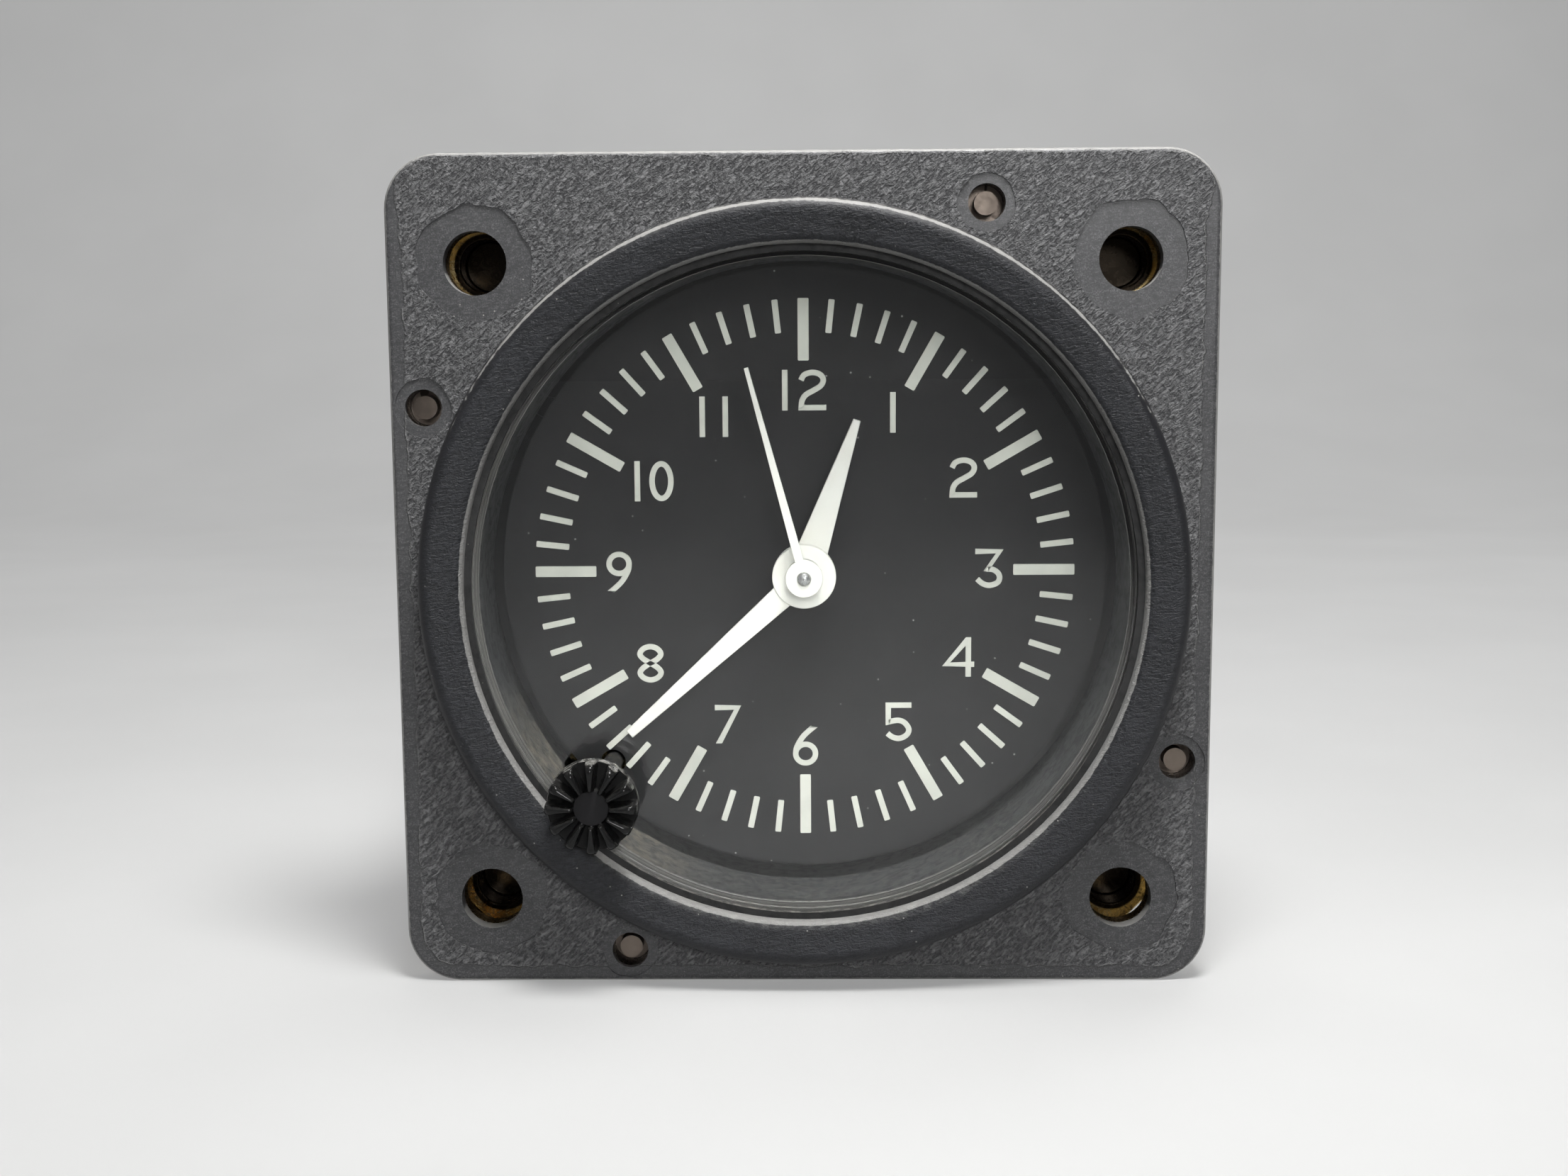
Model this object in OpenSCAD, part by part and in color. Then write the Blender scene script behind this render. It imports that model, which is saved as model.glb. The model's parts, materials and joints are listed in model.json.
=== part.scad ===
// Panel mounted aircraft clock with quartz stepper movement.
// Axis of the instrument along Y, face towards -Y, Z up, all sizes in mm.
// Depth is measured from the front face of the flange towards the rear.

/* [Flange] */
// Width of the square flange
flange_w = 60.1; // [59.6:0.1:61]
// Height of the square flange
flange_h = 61.4; // [61:0.1:62.4]
// Upward offset of the flange from the instrument axis
flange_lift = 0.7; // [0.5:0.1:0.8]
// Thickness of the flange
flange_t = 2.3; // [2.1:0.1:2.6]
// Corner radius of the flange
flange_corner_r = 4; // [2:0.1:5]
// Rounding of the flange edges
flange_edge_r = 0.45; // [0.2:0.05:0.6]
// Square spacing of the four panel holes
hole_pitch = 47.14; // [46.8:0.01:47.6]
// Diameter of the panel holes
mount_hole_d = 4.6; // [4.2:0.1:4.8]
// Diameter of the smooth spot around a panel hole
hole_spot_d = 8.4; // [6.4:0.1:8.6]

/* [Ring and glass] */
// Outside diameter of the raised ring
ring_d = 55.9; // [55.7:0.1:56.8]
// Height of the ring in front of the flange
ring_h = 3; // [2.6:0.1:3.4]
// Width of the ring's front face
ring_face_w = 3.2; // [2.8:0.1:3.3]
// Rounding of the ring's outer front edge
ring_edge_r = 0.9; // [0.5:0.1:1.3]
// Rounding of the ring's inner front edge
ring_lip_r = 0.8; // [0.3:0.1:0.9]
// Slope of the ring's face towards the glass, in degrees
ring_tilt = 12; // [0:1:15]
// Thickness of the glass
glass_t = 2; // [1.6:0.1:2.2]
// Depth where the sloped reflector wall ends
reflector_rear = 7; // [6:0.1:8]

/* [Dial] */
// Depth of the dial face behind the flange front
dial_depth = 10.5; // [10.3:0.1:11]
// Diameter of the dial plate
dial_d = 47.4; // [46.6:0.1:47.8]
// Outer radius of the minute track
tick_r = 21.2; // [20.6:0.1:21.6]
// Length of an hour tick
major_len = 4.8; // [4:0.1:5.4]
// Width of an hour tick
major_w = 0.86; // [0.7:0.01:1.1]
// Length of a minute tick
minor_len = 2.6; // [2.2:0.1:3.2]
// Width of a minute tick
minor_w = 0.48; // [0.4:0.01:0.7]
// Radius of the circle of numerals
numeral_r = 14.2; // [13.8:0.1:14.5]
// Height of the numerals
numeral_h = 3.25; // [2.8:0.05:3.4]
// Stroke width of the numerals
stroke_w = 0.46; // [0.36:0.01:0.54]

/* [Hands] */
// Length of the hour hand
hour_len = 12.6; // [11:0.1:14]
// Length of the minute hand
minute_len = 18.3; // [16:0.1:19]
// Length of the second hand
second_len = 16.5; // [15:0.05:19]
// Hour shown, counted in minutes past twelve
shown_minutes = 38; // [0:1:719]
// Seconds shown
shown_seconds = 57.5; // [0:0.5:59.5]

/* [Setting knob] */
// Diameter of the setting knob
knob_d = 6.7; // [6:0.1:6.9]
// Length of the setting knob
knob_len = 2.6; // [2.4:0.1:3.4]
// Sideways and downward offset of the knob from the axis
knob_offset = 15.35; // [15.1:0.05:15.4]
// Travel of the knob when it is pulled
pull_travel = 1.8; // [1.4:0.1:2]

/* [Case] */
// Depth of the rear face of the case
case_depth = 44; // [40:0.5:54]
// Wall thickness of the case
case_wall = 2; // [1.8:0.1:2.1]
// Thickness of the rear cover
cover_t = 2; // [1.6:0.1:2.4]
// Width of the rim at the rear of the case
rim_w = 2.05; // [1.9:0.05:2.6]
// Radius of the circle of bezel screws
bezel_screw_r = 30.6; // [30.5:0.1:33.6]
// Angle of the first bezel screw
bezel_screw_a = 64.4; // [63:0.1:66]

/* [Movement] */
// Thickness of the movement plates
plate_t = 1.4; // [1.2:0.1:1.6]
// Space between the movement plates
plate_gap = 10; // [9.8:0.1:10.6]
// Thickness of the train wheels
wheel_t = 0.8; // [0.7:0.05:0.9]
// Spacing of second arbor and third wheel
third_dist = 11.7; // [11.5:0.1:11.9]
// Spacing of second arbor and intermediate wheel
inter_dist = 11.4; // [11.3:0.1:11.6]
// Spacing of intermediate wheel and rotor
rotor_dist = 7.7; // [7.4:0.1:8]

/* [Hidden] */
$fn = 96;
cut = 0.5;
run_gap = 0.05;
pivot_gap = 0.04;
press_gap = 0.02;
seat_gap = 0.1;
part_gap = 0.4;

// front stack, depths from the flange front
lip_t = 1.6;
gasket_t = 0.4;
gasket_in = 0.5;
glass_rim = 1;
ring_r = ring_d / 2;
lip_r = ring_r - ring_face_w;
ring_front = -ring_h;
lip_rear = ring_front + lip_t;
glass_front = lip_rear + gasket_t;
glass_rear = glass_front + glass_t;
glass_r = lip_r + glass_rim;
bezel_bore_r = glass_r + seat_gap;
spot_t = 0.12;
hole_r = mount_hole_d / 2;
hole_at = hole_pitch / 2;
corners = [[1, 1], [-1, 1], [-1, -1], [1, -1]];

// bezel screws and their inserts
insert_front = 0.6;
insert_wall = 0.65;
insert_in_r = 1.35;
insert_out_r = insert_in_r + insert_wall;
small_spot_r = 2.1;
point_r = 0.85;
point_len = 1.2;
point_front = 0.95;
bezel_head_r = 1.85;
bezel_head_h = 1.4;
ear_r = 2.2;
ear_t = 3;
collar_w = 0.3;
quarter_turns = [0, 90, 180, 270];
slot_share = 0.3;

// panel nuts and their clips
clip_t = 0.5;
clip_half = 3.6;
clip_len = 6;
clip_lip = 1.3;
eyelet_len = 1;
eyelet_wall = 0.4;
eyelet_in_r = hole_r + run_gap;
eyelet_out_r = eyelet_in_r + eyelet_wall;
nut_half = 3;
nut_t = 3;
nut_bore_r = 1.9;
nut_end = 0.6;

// case
case_r = ring_r;
case_in_r = case_r - case_wall;
rim_r = case_r + rim_w;
rim_t = 2.2;
step_t = 1.6;
step_wall = 0.9;
step_r = case_r - step_wall;
ear_web = bezel_screw_r - case_r + case_wall / 2;
boss_r = 2.2;
boss_sink = 0.2;
boss_at = case_in_r - boss_r + boss_sink;
boss_len = 6;
boss_floor = 0.5;
boss_angles = [30, 150, 270];
cover_screw_at = (rim_r + case_r) / 2;
cover_screw_r = 0.6;
cover_head_r = 0.85;
cover_head_h = 0.7;
cover_screw_grip = 1.4;
cover_screw_len = cover_t + cover_screw_grip;
cover_screw_a = 45;
cover_rear = case_depth + cover_t;
spigot_len = 1.5;
spigot_wall = 1.6;

// reflector ring behind the glass
reflector_inset = 0.75;
reflector_in_r = lip_r - reflector_inset;
reflector_slope = 0.15;
reflector_out_r = bezel_bore_r - run_gap;
groove_w = 0.12;
groove_step = 0.3;

// dial and marks
dial_t = 0.7;
dial_r = dial_d / 2;
dial_rear = dial_depth + dial_t;
mark_t = 0.06;
digit_half = numeral_h / 2 - stroke_w / 2;
digit_bowl = digit_half / 2;
digit_low = digit_half * 0.56;
digit_wide = digit_half * 0.52;
digit_step = numeral_h * 0.31;
one_step = numeral_h * 0.23;
two_dip = 38;
two_sweep = 208;
bowl_from = -155;
three_sweep = 245;
five_sweep = 295;
five_join = 140;
six_from = 50;
six_sweep = 130;
four_stem = digit_bowl * 0.55;
four_half = digit_bowl * 1.2;
four_bar = -digit_half * 0.4;
five_left = -digit_bowl * 0.85;
five_right = digit_bowl * 0.95;
seven_foot = -digit_bowl * 0.25;

// depths of the motion work and plates
work_gap = 0.8;
hour_front = dial_rear + work_gap;
hour_rear = hour_front + wheel_t;
motion_front = hour_rear + work_gap;
motion_rear = motion_front + wheel_t;
mesh_over = 0.3;
set_over = 0.2;
set_front = motion_front - set_over;
set_rear = motion_rear + pull_travel + set_over;
plate_front = set_rear + part_gap;
plate_rear = plate_front + plate_t;
bridge_front = plate_rear + plate_gap;
bridge_rear = bridge_front + plate_t;
wheel_lift = 0.8;
layer_gap = 1.2;
collar_room = 0.2;
centre_front = plate_rear + wheel_lift;
centre_rear = centre_front + wheel_t;
third_front = centre_rear + layer_gap + collar_room;
third_rear = third_front + wheel_t;
second_front = third_rear + layer_gap;
second_rear = second_front + wheel_t;
inter_front = second_rear + layer_gap;
inter_rear = inter_front + wheel_t;

// radii of the concentric arbors
second_r = 0.5;
tube_in_r = second_r + run_gap;
tube_r = 1.35;
hour_in_r = tube_r + run_gap;
hour_pipe_r = 1.9;
pipe_room = 0.2;
dial_hole_r = hour_pipe_r + pipe_room;
clutch_r = 1.1;
clutch_t = 0.4;
clutch_rim = 1.6;
collar_r = 1.9;
collar_t = 0.6;
bush_wall = 1.2;
bush_flange_r = 3.6;
bush_flange_t = 0.6;

// depths of the hands
pin_stand = 5.9;
pin_show = 0.3;
blade_set = 0.1;
hub_gap = 0.25;
tube_show = 0.35;
pipe_show = 0.15;
hub_len = 0.65;
second_hub_len = 0.8;
pin_front = dial_depth - pin_stand;
second_hub_front = pin_front + pin_show;
second_hand_at = second_hub_front + 2 * blade_set;
tube_front = second_hub_front + second_hub_len + hub_gap;
minute_hub_front = tube_front + tube_show;
minute_hand_at = minute_hub_front + blade_set;
pipe_front = minute_hub_front + hub_len + tube_show;
hour_hub_front = pipe_front + pipe_show;
hour_hand_at = hour_hub_front + blade_set;
hour_root_w = 2.75;
hour_tip_w = 0.58;
minute_root_w = 2;
minute_tip_w = 0.72;
second_root_w = 0.72;
second_tip_w = 0.34;
hand_t = 0.35;
dome_r = 0.8;
second_hub_r = 1.42;
minute_hub_r = 2.45;
hour_hub_r = 2.4;
minute_step = 6;
hour_step = 5 * minute_step;
minute_angle = (shown_minutes % 60) * minute_step;
hour_angle = shown_minutes * hour_step / 60;
second_angle = shown_seconds * minute_step;

// gear data
press_angle = 25;
addendum = 0.8;
dedendum = 1.05;
tooth_slack = 0.05;
wheel_steps = 2;
pinion_steps = 4;
cannon_z = 12;
motion_z = 36;
motion_pinion_z = 12;
hour_z = 48;
set_z = 16;
train_pinion_z = 10;
third_z = 80;
centre_z = 75;
second_z = 50;
inter_z = 60;
spokes = 5;
motion_spokes = 4;
light_ring = 0.58;
light_size = 0.2;

// setting work, placed so that all three axes close up
set_r = knob_offset * sqrt(2);
set_angle = 225;
axis_slack = 0.2;
work_m = (set_r + axis_slack) * 2 / (cannon_z + 2 * motion_z + set_z);
motion_dist = work_m * (cannon_z + motion_z) / 2;
set_dist = work_m * (motion_z + set_z) / 2;
hour_m = motion_dist * 2 / (motion_pinion_z + hour_z);
motion_turn = acos((motion_dist ^ 2 + set_r ^ 2 - set_dist ^ 2) / (2 * motion_dist * set_r));
motion_angle = set_angle + motion_turn;
motion_at = motion_dist * [cos(motion_angle), sin(motion_angle)];
set_at = set_r * [cos(set_angle), sin(set_angle)];
set_dir = atan2(set_at[1] - motion_at[1], set_at[0] - motion_at[0]);

// going train places
third_m = third_dist * 2 / (train_pinion_z + third_z);
centre_m = third_dist * 2 / (train_pinion_z + centre_z);
second_m = inter_dist * 2 / (train_pinion_z + second_z);
inter_m = rotor_dist * 2 / (train_pinion_z + inter_z);
third_angle = 90;
rotor_turn = 260;
third_at = [0, third_dist];
inter_at = [inter_dist, 0];
rotor_at = inter_at + rotor_dist * [cos(rotor_turn), sin(rotor_turn)];
arbor_r = 0.6;
pivot_r = 0.35;
pivot_in = 1.1;
shake = 0.15;
post_r = 0.6;
post_hub_r = 1.2;
post_show = 0.6;

// stepper motor
magnet_r = 2.2;
magnet_lead = 0.6;
magnet_tail = 0.3;
air_gap = 0.4;
magnet_front = third_front - magnet_lead;
magnet_rear = second_front - magnet_tail;
stator_t = 1.2;
stator_front = (magnet_front + magnet_rear - stator_t) / 2;
stator_rear = stator_front + stator_t;
stator_bore_r = magnet_r + air_gap;
leg_half = 1.6;
leg_foot = 1.8;
leg_rise = 5;
leg_back = 7.6;
bore_side = 3.9;
bore_chamfer = 1.5;
coil_y = -16.5;
coil_half = 8;
coil_left = -9.8;
coil_right = 10.4;
core_h = 2;
core_t = 1.2;
core_end = 1.5;
core_gap = 0.05;
winding_r = 2.9;
bobbin_r = 3.2;
bobbin_wall = 0.5;
tube_wall = 0.3;
stator_screw_r = 0.6;
stator_stud_r = 1.3;
stator_screw_grip = 2;
stator_head_r = 1.1;
stator_head_h = 0.6;

// plates, pillars, boards
plate_room = 0.3;
front_plate_r = case_in_r - plate_room;
bridge_r = boss_at - boss_r - part_gap;
pillar_r = 1.6;
pillar_at = 19.4;
pillar_angles = [40, 140, 205, 330];
pillar_screw_r = 0.8;
pillar_head_r = 1.4;
pillar_head_h = 1;
pillar_screw_grip = 5;
spacer_len = 2.4;
board_front = bridge_rear + spacer_len;
board_t = 1.2;
board_rear = board_front + board_t;
foot_at = 20;
foot_angles = [75, 180, 315];
foot_r = 0.8;
foot_shoulder_r = 1.4;
foot_nut_t = 0.9;
foot_show = 0.3;
foot_nut_r = 1.6;
plate_screw_head_r = 1.6;
plate_screw_head_h = 0.9;
plate_screw_r = 0.8;
plate_screw_len = 5;
link_pitch = 2.54;
link_pin_r = 0.32;
link_show = 0.6;
link_y = 10;
link_depth = 2.5;
link_steps = [-1.5, -0.5, 0.5, 1.5];
crystal_r = 1;
crystal_gap = 0.2;
crystal_len = 6.2;
crystal_at = [-10, -2];
chip_at = [3, -4];
chip_size = [5, 4, 1.1];

// rear power board and connector
power_t = 1.6;
crystal_room = 2 * crystal_r + crystal_gap;
rear_room = case_depth - board_rear - power_t;
gap_share = 3 / 14;
power_front = board_rear + crystal_room + gap_share * (rear_room - crystal_room);
power_rear = power_front + power_t;
power_post_len = case_depth - power_rear;
post_fill = 0.618;
power_r = 21;
power_post_r = 2;
power_post_at = 18.6;
power_post_angles = [60, 180, 300];
power_screw_len = power_t + post_fill * power_post_len;
regulator_at = [-11, -10.5];
regulator_size = [6.5, 3.5, 1.7];
tab_size = [3, 2, 0.5];
tab_sink = 0.35;
capacitor_x = [4, 11];
capacitor_y = -11;
capacitor_r = 2.6;
capacitor_room = 0.9;
capacitor_len = power_post_len - capacitor_room;
jack_pitch = 24.99;
jack_r = 1.45;
jack_across = 4.8;
jack_len = 5;
jack_bore_r = 1.15;
jack_end = 0.6;
jack_bore_len = 4;
shell_flange = [30.8, 12.5];
shell_flange_t = 0.8;
shell_len = 5.8;
shell_wall = 0.5;
shell_w = 16.4;
shell_h = 7.9;
shell_lean = 1.4;
insert_block = [18.4, 9.6];
insert_fill = 0.473;
insert_rear_len = insert_fill * power_post_len;
insert_room = 0.2;
insert_sink = 0.3;
contact_pitch = 2.77;
contact_row = 1.42;
contact_r = 0.5;
contact_tail_r = 0.35;
contact_tail_show = 0.6;
contact_sink = 0.8;
contact_bore_r = 0.32;
contact_bore_len = 4;
contact_steps = [[-2, -1, 0, 1, 2], [-1.5, -0.5, 0.5, 1.5]];

// setting shaft
knob_r = knob_d / 2;
knob_gap = 0.3;
knob_rear = ring_front - knob_gap;
knob_front = knob_rear - knob_len;
knob_ridges = 12;
knob_flute_r = 0.45;
knob_hole_r = 1.35;
knob_hole_len = 0.8;
knob_edge_r = 0.5;
flute_share = 0.72;
flute_out = 0.3;
groove_in = 0.55;
groove_out = 1.1;
shaft_r = 0.75;
shaft_room = 0.25;
shaft_hole_r = shaft_r + shaft_room;
tail_r = 0.5;
yoke_room = 0.2;
yoke_front = plate_rear + pull_travel + yoke_room;
yoke_t = 0.8;
yoke_r = 1.8;
yoke_eye_r = 1.4;
yoke_w = 1.8;
yoke_reach = 4.4;
yoke_dir = 80;
yoke_at = set_at + yoke_reach * [cos(yoke_dir), sin(yoke_dir)];
guide_r = 0.6;
guide_show = 1.2;
peen_t = 0.4;
peen_r = 1;
knob_web = 0.5;
seal_t = 0.8;
glass_hole_r = 1.9;
glass_bush_r = glass_hole_r - run_gap;
glass_bush_flange_r = lip_r - gasket_in - set_r - run_gap;
glass_bush_flange_t = 0.5;
glass_nut_t = 1.2;

// turns the working frame so that depth runs along Y
module upright() {
  rotate([90, 0, 0]) children();
}

// round bar between two depths
module disc(r, front, rear) {
  translate([0, 0, -rear]) cylinder(r = r, h = rear - front);
}

// round tube between two depths
module tube(r_out, r_in, front, rear) {
  difference() {
    disc(r_out, front, rear);
    disc(r_in, front - cut, rear + cut);
  }
}

// upright block between two depths, centred on the axis
module slab(w, h, front, rear) {
  translate([-w / 2, -h / 2, -rear]) cube([w, h, rear - front]);
}

// puts a child at a plan point
module at(p) {
  translate([p[0], p[1], 0]) children();
}

// puts a child on a circle and turns it outwards
module polar(r, a) {
  rotate([0, 0, a]) translate([r, 0, 0]) children();
}

// flat plate with a profile, between two depths
module sheet(front, rear) {
  translate([0, 0, -rear]) linear_extrude(height = rear - front) children();
}

// tooth half angle at radius r of a wheel with z teeth
function involute(a) = tan(a) * 180 / PI - a;
function half_tooth(z, m, r) =
  let (pitch_r = z * m / 2, base_r = pitch_r * cos(press_angle))
  let (slope = acos(min(1, base_r / max(r, base_r))))
  90 / z - tooth_slack * 90 / (PI * pitch_r) + involute(press_angle) - involute(slope);

// outline of a toothed wheel, one tooth centred on the given angle
function tooth_radius(z, m, i, n) = z * m / 2 - dedendum * m + (addendum + dedendum) * m * i / n;
function ray(r, a) = [r * cos(a), r * sin(a)];
function gear_points(z, m, turn, n) = [
  for (k = [0 : z - 1])
    for (i = [0 : 2 * n + 1])
      let (up = i <= n)
      let (r = tooth_radius(z, m, up ? i : 2 * n + 1 - i, n))
      let (half = half_tooth(z, m, r))
      ray(r, turn + k * 360 / z + (up ? -half : half))
];

// angle of a tooth on the driven wheel so that it falls into a gap
function mesh_turn(turn, z, dir, z2) = dir + 180 + (0.5 - (turn - dir) * z / 360) * 360 / z2;

module gear(z, m, front, rear, turn, n) {
  sheet(front, rear) polygon(gear_points(z, m, turn, n));
}

// pinion a little longer than the wheel it meshes with
module pinion(z, m, front, rear, turn) {
  gear(z, m, front - mesh_over, rear + mesh_over, turn, pinion_steps);
}

// wheel with round lightening holes
module pierced_gear(z, m, front, rear, turn, bore, holes) {
  pitch_r = z * m / 2;
  difference() {
    gear(z, m, front, rear, turn, wheel_steps);
    disc(bore, front - cut, rear + cut);
    for (k = [0 : holes - 1]) {
      polar(pitch_r * light_ring, (k + 0.5) * 360 / holes) {
        disc(pitch_r * light_size, front - cut, rear + cut);
      }
    }
  }
}

// slotted screw with its head behind the seat
module rear_screw(seat, head_r, head_h, shank_r, len) {
  difference() {
    union() {
      disc(head_r, seat, seat + head_h);
      disc(shank_r, seat - len, seat + head_h / 2);
    }
    slab(3 * head_r, slot_share * head_r, seat + head_h / 2, seat + head_h + cut);
  }
}

// slotted screw with its head in front of the seat
module front_screw(seat, head_r, head_h, shank_r, len) {
  difference() {
    union() {
      disc(head_r, seat - head_h, seat);
      disc(shank_r, seat - head_h / 2, seat + len);
    }
    slab(3 * head_r, slot_share * head_r, seat - head_h - cut, seat - head_h / 2);
  }
}

// profile of a plate edge with both corners rounded
module edge_profile(half) {
  r = flange_edge_r;
  translate([0, r]) square([half, flange_t - 2 * r]);
  square([half - r, flange_t]);
  translate([half - r, r]) circle(r = r);
  translate([half - r, flange_t - r]) circle(r = r);
}

// square plate with rounded corners and edges
module flange_plate() {
  in_w = flange_w - 2 * flange_corner_r;
  in_h = flange_h - 2 * flange_corner_r;
  translate([0, flange_lift, -flange_t]) {
    for (s = [0, 180]) {
      rotate([0, 0, s]) translate([0, in_h / 2, 0]) rotate([90, 0, 0])
        linear_extrude(height = in_h) edge_profile(flange_w / 2);
      rotate([0, 0, s + 90]) translate([0, in_w / 2, 0]) rotate([90, 0, 0])
        linear_extrude(height = in_w) edge_profile(flange_h / 2);
    }
    for (c = corners) {
      translate([c[0] * in_w / 2, c[1] * in_h / 2, 0])
        rotate_extrude() edge_profile(flange_corner_r);
    }
  }
}

// section of the raised ring, drawn from the axis outwards
module ring_section() {
  body = ring_h + flange_t / 2;
  base = ring_h - lip_t;
  facing = [-sin(ring_tilt), cos(ring_tilt)];
  outer = [ring_r - ring_edge_r, ring_h - ring_edge_r];
  face_out = outer + ring_edge_r * facing;
  face_in_r = lip_r + ring_lip_r * (1 + facing[0]);
  face_in = [face_in_r, face_out[1] - (face_out[0] - face_in_r) * tan(ring_tilt)];
  inner = face_in - ring_lip_r * facing;
  translate([bezel_bore_r - cut, -flange_t / 2]) {
    square([ring_r - bezel_bore_r + cut, body - ring_edge_r]);
  }
  translate([lip_r, base]) square([ring_lip_r, inner[1] - base]);
  polygon([[inner[0], base], [outer[0], base], outer, face_out, face_in, inner]);
  translate(outer) circle(r = ring_edge_r);
  translate(inner) circle(r = ring_lip_r);
}

module bezel() {
  color("dimgray") upright() difference() {
    union() {
      flange_plate();
      rotate_extrude() ring_section();
    }
    disc(bezel_bore_r, lip_rear, flange_t + cut);
    for (c = corners) {
      at(hole_at * c) {
        disc(hole_r, -cut, flange_t + cut);
        disc(hole_spot_d / 2, -cut, spot_t);
        disc(eyelet_out_r + press_gap, flange_t - eyelet_len, flange_t + cut);
      }
    }
    for (q = quarter_turns) {
      polar(bezel_screw_r, bezel_screw_a + q) {
        disc(insert_in_r, -cut, flange_t + cut);
        disc(small_spot_r, -cut, spot_t);
        disc(insert_out_r + press_gap, insert_front, flange_t + cut);
      }
    }
  }
}

module glass_gasket() {
  color("black") upright() tube(glass_r, lip_r - gasket_in, lip_rear, glass_front);
}

module glass() {
  color("lightblue") upright() difference() {
    disc(glass_r, glass_front, glass_rear);
    at(set_at) disc(glass_hole_r, glass_front - cut, glass_rear + cut);
  }
}

// sloped wall between glass and dial with turned rings on its front rim
module reflector_ring() {
  wall_w = reflector_out_r - reflector_in_r;
  color("dimgray") upright() difference() {
    union() {
      disc(reflector_out_r, glass_rear, reflector_rear);
      disc(step_r - run_gap, flange_t, flange_t + step_t);
    }
    translate([0, 0, -reflector_rear - cut]) {
      cylinder(
        r1 = reflector_in_r - reflector_slope,
        r2 = reflector_in_r,
        h = reflector_rear - glass_rear + 2 * cut);
    }
    for (k = [1 : floor(wall_w / groove_step) - 1]) {
      tube(
        reflector_in_r + k * groove_step + groove_w,
        reflector_in_r + k * groove_step,
        glass_rear - cut,
        glass_rear + groove_w);
    }
  }
}

module screw_inserts() {
  color("goldenrod") upright() for (q = quarter_turns) {
    polar(bezel_screw_r, bezel_screw_a + q) tube(insert_out_r, insert_in_r, insert_front, flange_t);
  }
}

module bezel_screws() {
  seat = flange_t + ear_t;
  shank_front = point_front + point_len;
  color("saddlebrown") upright() for (q = quarter_turns) {
    polar(bezel_screw_r, bezel_screw_a + q) {
      rear_screw(seat, bezel_head_r, bezel_head_h, insert_in_r - press_gap, seat - shank_front);
      disc(point_r, point_front, shank_front + cut);
    }
  }
}

module panel_nuts() {
  nut_rear = flange_t + clip_len - clip_t;
  color("gold") upright() for (c = corners) {
    at(hole_at * c) rotate([0, 0, 45]) difference() {
      slab(2 * nut_half, 2 * nut_half, nut_rear - nut_t, nut_rear);
      disc(nut_bore_r, nut_rear - nut_t - cut, nut_rear - nut_end);
    }
  }
}

module nut_clips() {
  rear = flange_t + clip_len;
  color("goldenrod") upright() for (c = corners) {
    at(hole_at * c) rotate([0, 0, 45]) difference() {
      union() {
        slab(2 * clip_half, 2 * clip_half, flange_t, flange_t + clip_t);
        disc(eyelet_out_r, flange_t - eyelet_len, flange_t + clip_t / 2);
        for (s = [-1, 1]) {
          translate([s * (clip_half - clip_t / 2), 0, 0]) slab(clip_t, 2 * nut_half, flange_t, rear);
          translate([s * (clip_half - clip_lip / 2), 0, 0]) {
            slab(clip_lip, 2 * nut_half, rear - clip_t, rear);
          }
        }
      }
      disc(eyelet_in_r, -cut, flange_t + clip_t + cut);
    }
  }
}

// collar of the case front with four screw ears
module ear_outline() {
  circle(r = case_r + collar_w);
  for (q = quarter_turns) {
    polar(bezel_screw_r, bezel_screw_a + q) {
      circle(r = ear_r);
      translate([-ear_web, -ear_r]) square([ear_web, 2 * ear_r]);
    }
  }
}

module case() {
  color("dimgray") upright() difference() {
    union() {
      difference() {
        union() {
          disc(case_r, flange_t, case_depth);
          disc(rim_r, case_depth - rim_t, case_depth);
          sheet(flange_t, flange_t + ear_t) ear_outline();
        }
        disc(case_in_r, flange_t - cut, case_depth + cut);
        disc(step_r, flange_t - cut, flange_t + step_t);
      }
      for (a = boss_angles) {
        polar(boss_at, a) disc(boss_r, plate_rear, plate_rear + boss_len);
      }
    }
    for (q = quarter_turns) {
      polar(bezel_screw_r, bezel_screw_a + q) {
        disc(insert_in_r + seat_gap, flange_t - cut, flange_t + ear_t + cut);
      }
      polar(cover_screw_at, cover_screw_a + q) {
        disc(cover_screw_r + press_gap, case_depth - rim_t - cut, case_depth + cut);
      }
    }
    for (a = boss_angles) {
      polar(boss_at, a) {
        disc(plate_screw_r + press_gap, plate_rear - cut, plate_rear + boss_len - boss_floor);
      }
    }
  }
}

module rear_cover() {
  post_angles = power_post_angles;
  color("gray") upright() difference() {
    union() {
      disc(rim_r, case_depth, cover_rear);
      tube(case_in_r - seat_gap, case_in_r - spigot_wall, case_depth - spigot_len, case_depth + cut);
      for (a = post_angles) {
        polar(power_post_at, a) disc(power_post_r, power_rear, case_depth + cut);
      }
    }
    slab(
      insert_block[0] + 2 * insert_room,
      insert_block[1] + 2 * insert_room,
      case_depth - cut,
      cover_rear + cut);
    for (s = [-1, 1]) {
      at([s * jack_pitch / 2, 0]) disc(jack_r + press_gap, case_depth - cut, cover_rear + cut);
    }
    for (q = quarter_turns) {
      polar(cover_screw_at, cover_screw_a + q) {
        disc(cover_screw_r + seat_gap, case_depth - cut, cover_rear + cut);
      }
    }
    for (a = post_angles) {
      polar(power_post_at, a) disc(pillar_screw_r + press_gap, power_rear - cut, case_depth);
    }
  }
}

module cover_screws() {
  color("silver") upright() for (q = quarter_turns) {
    polar(cover_screw_at, cover_screw_a + q) {
      rear_screw(cover_rear, cover_head_r, cover_head_h, cover_screw_r, cover_screw_len);
    }
  }
}

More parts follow.
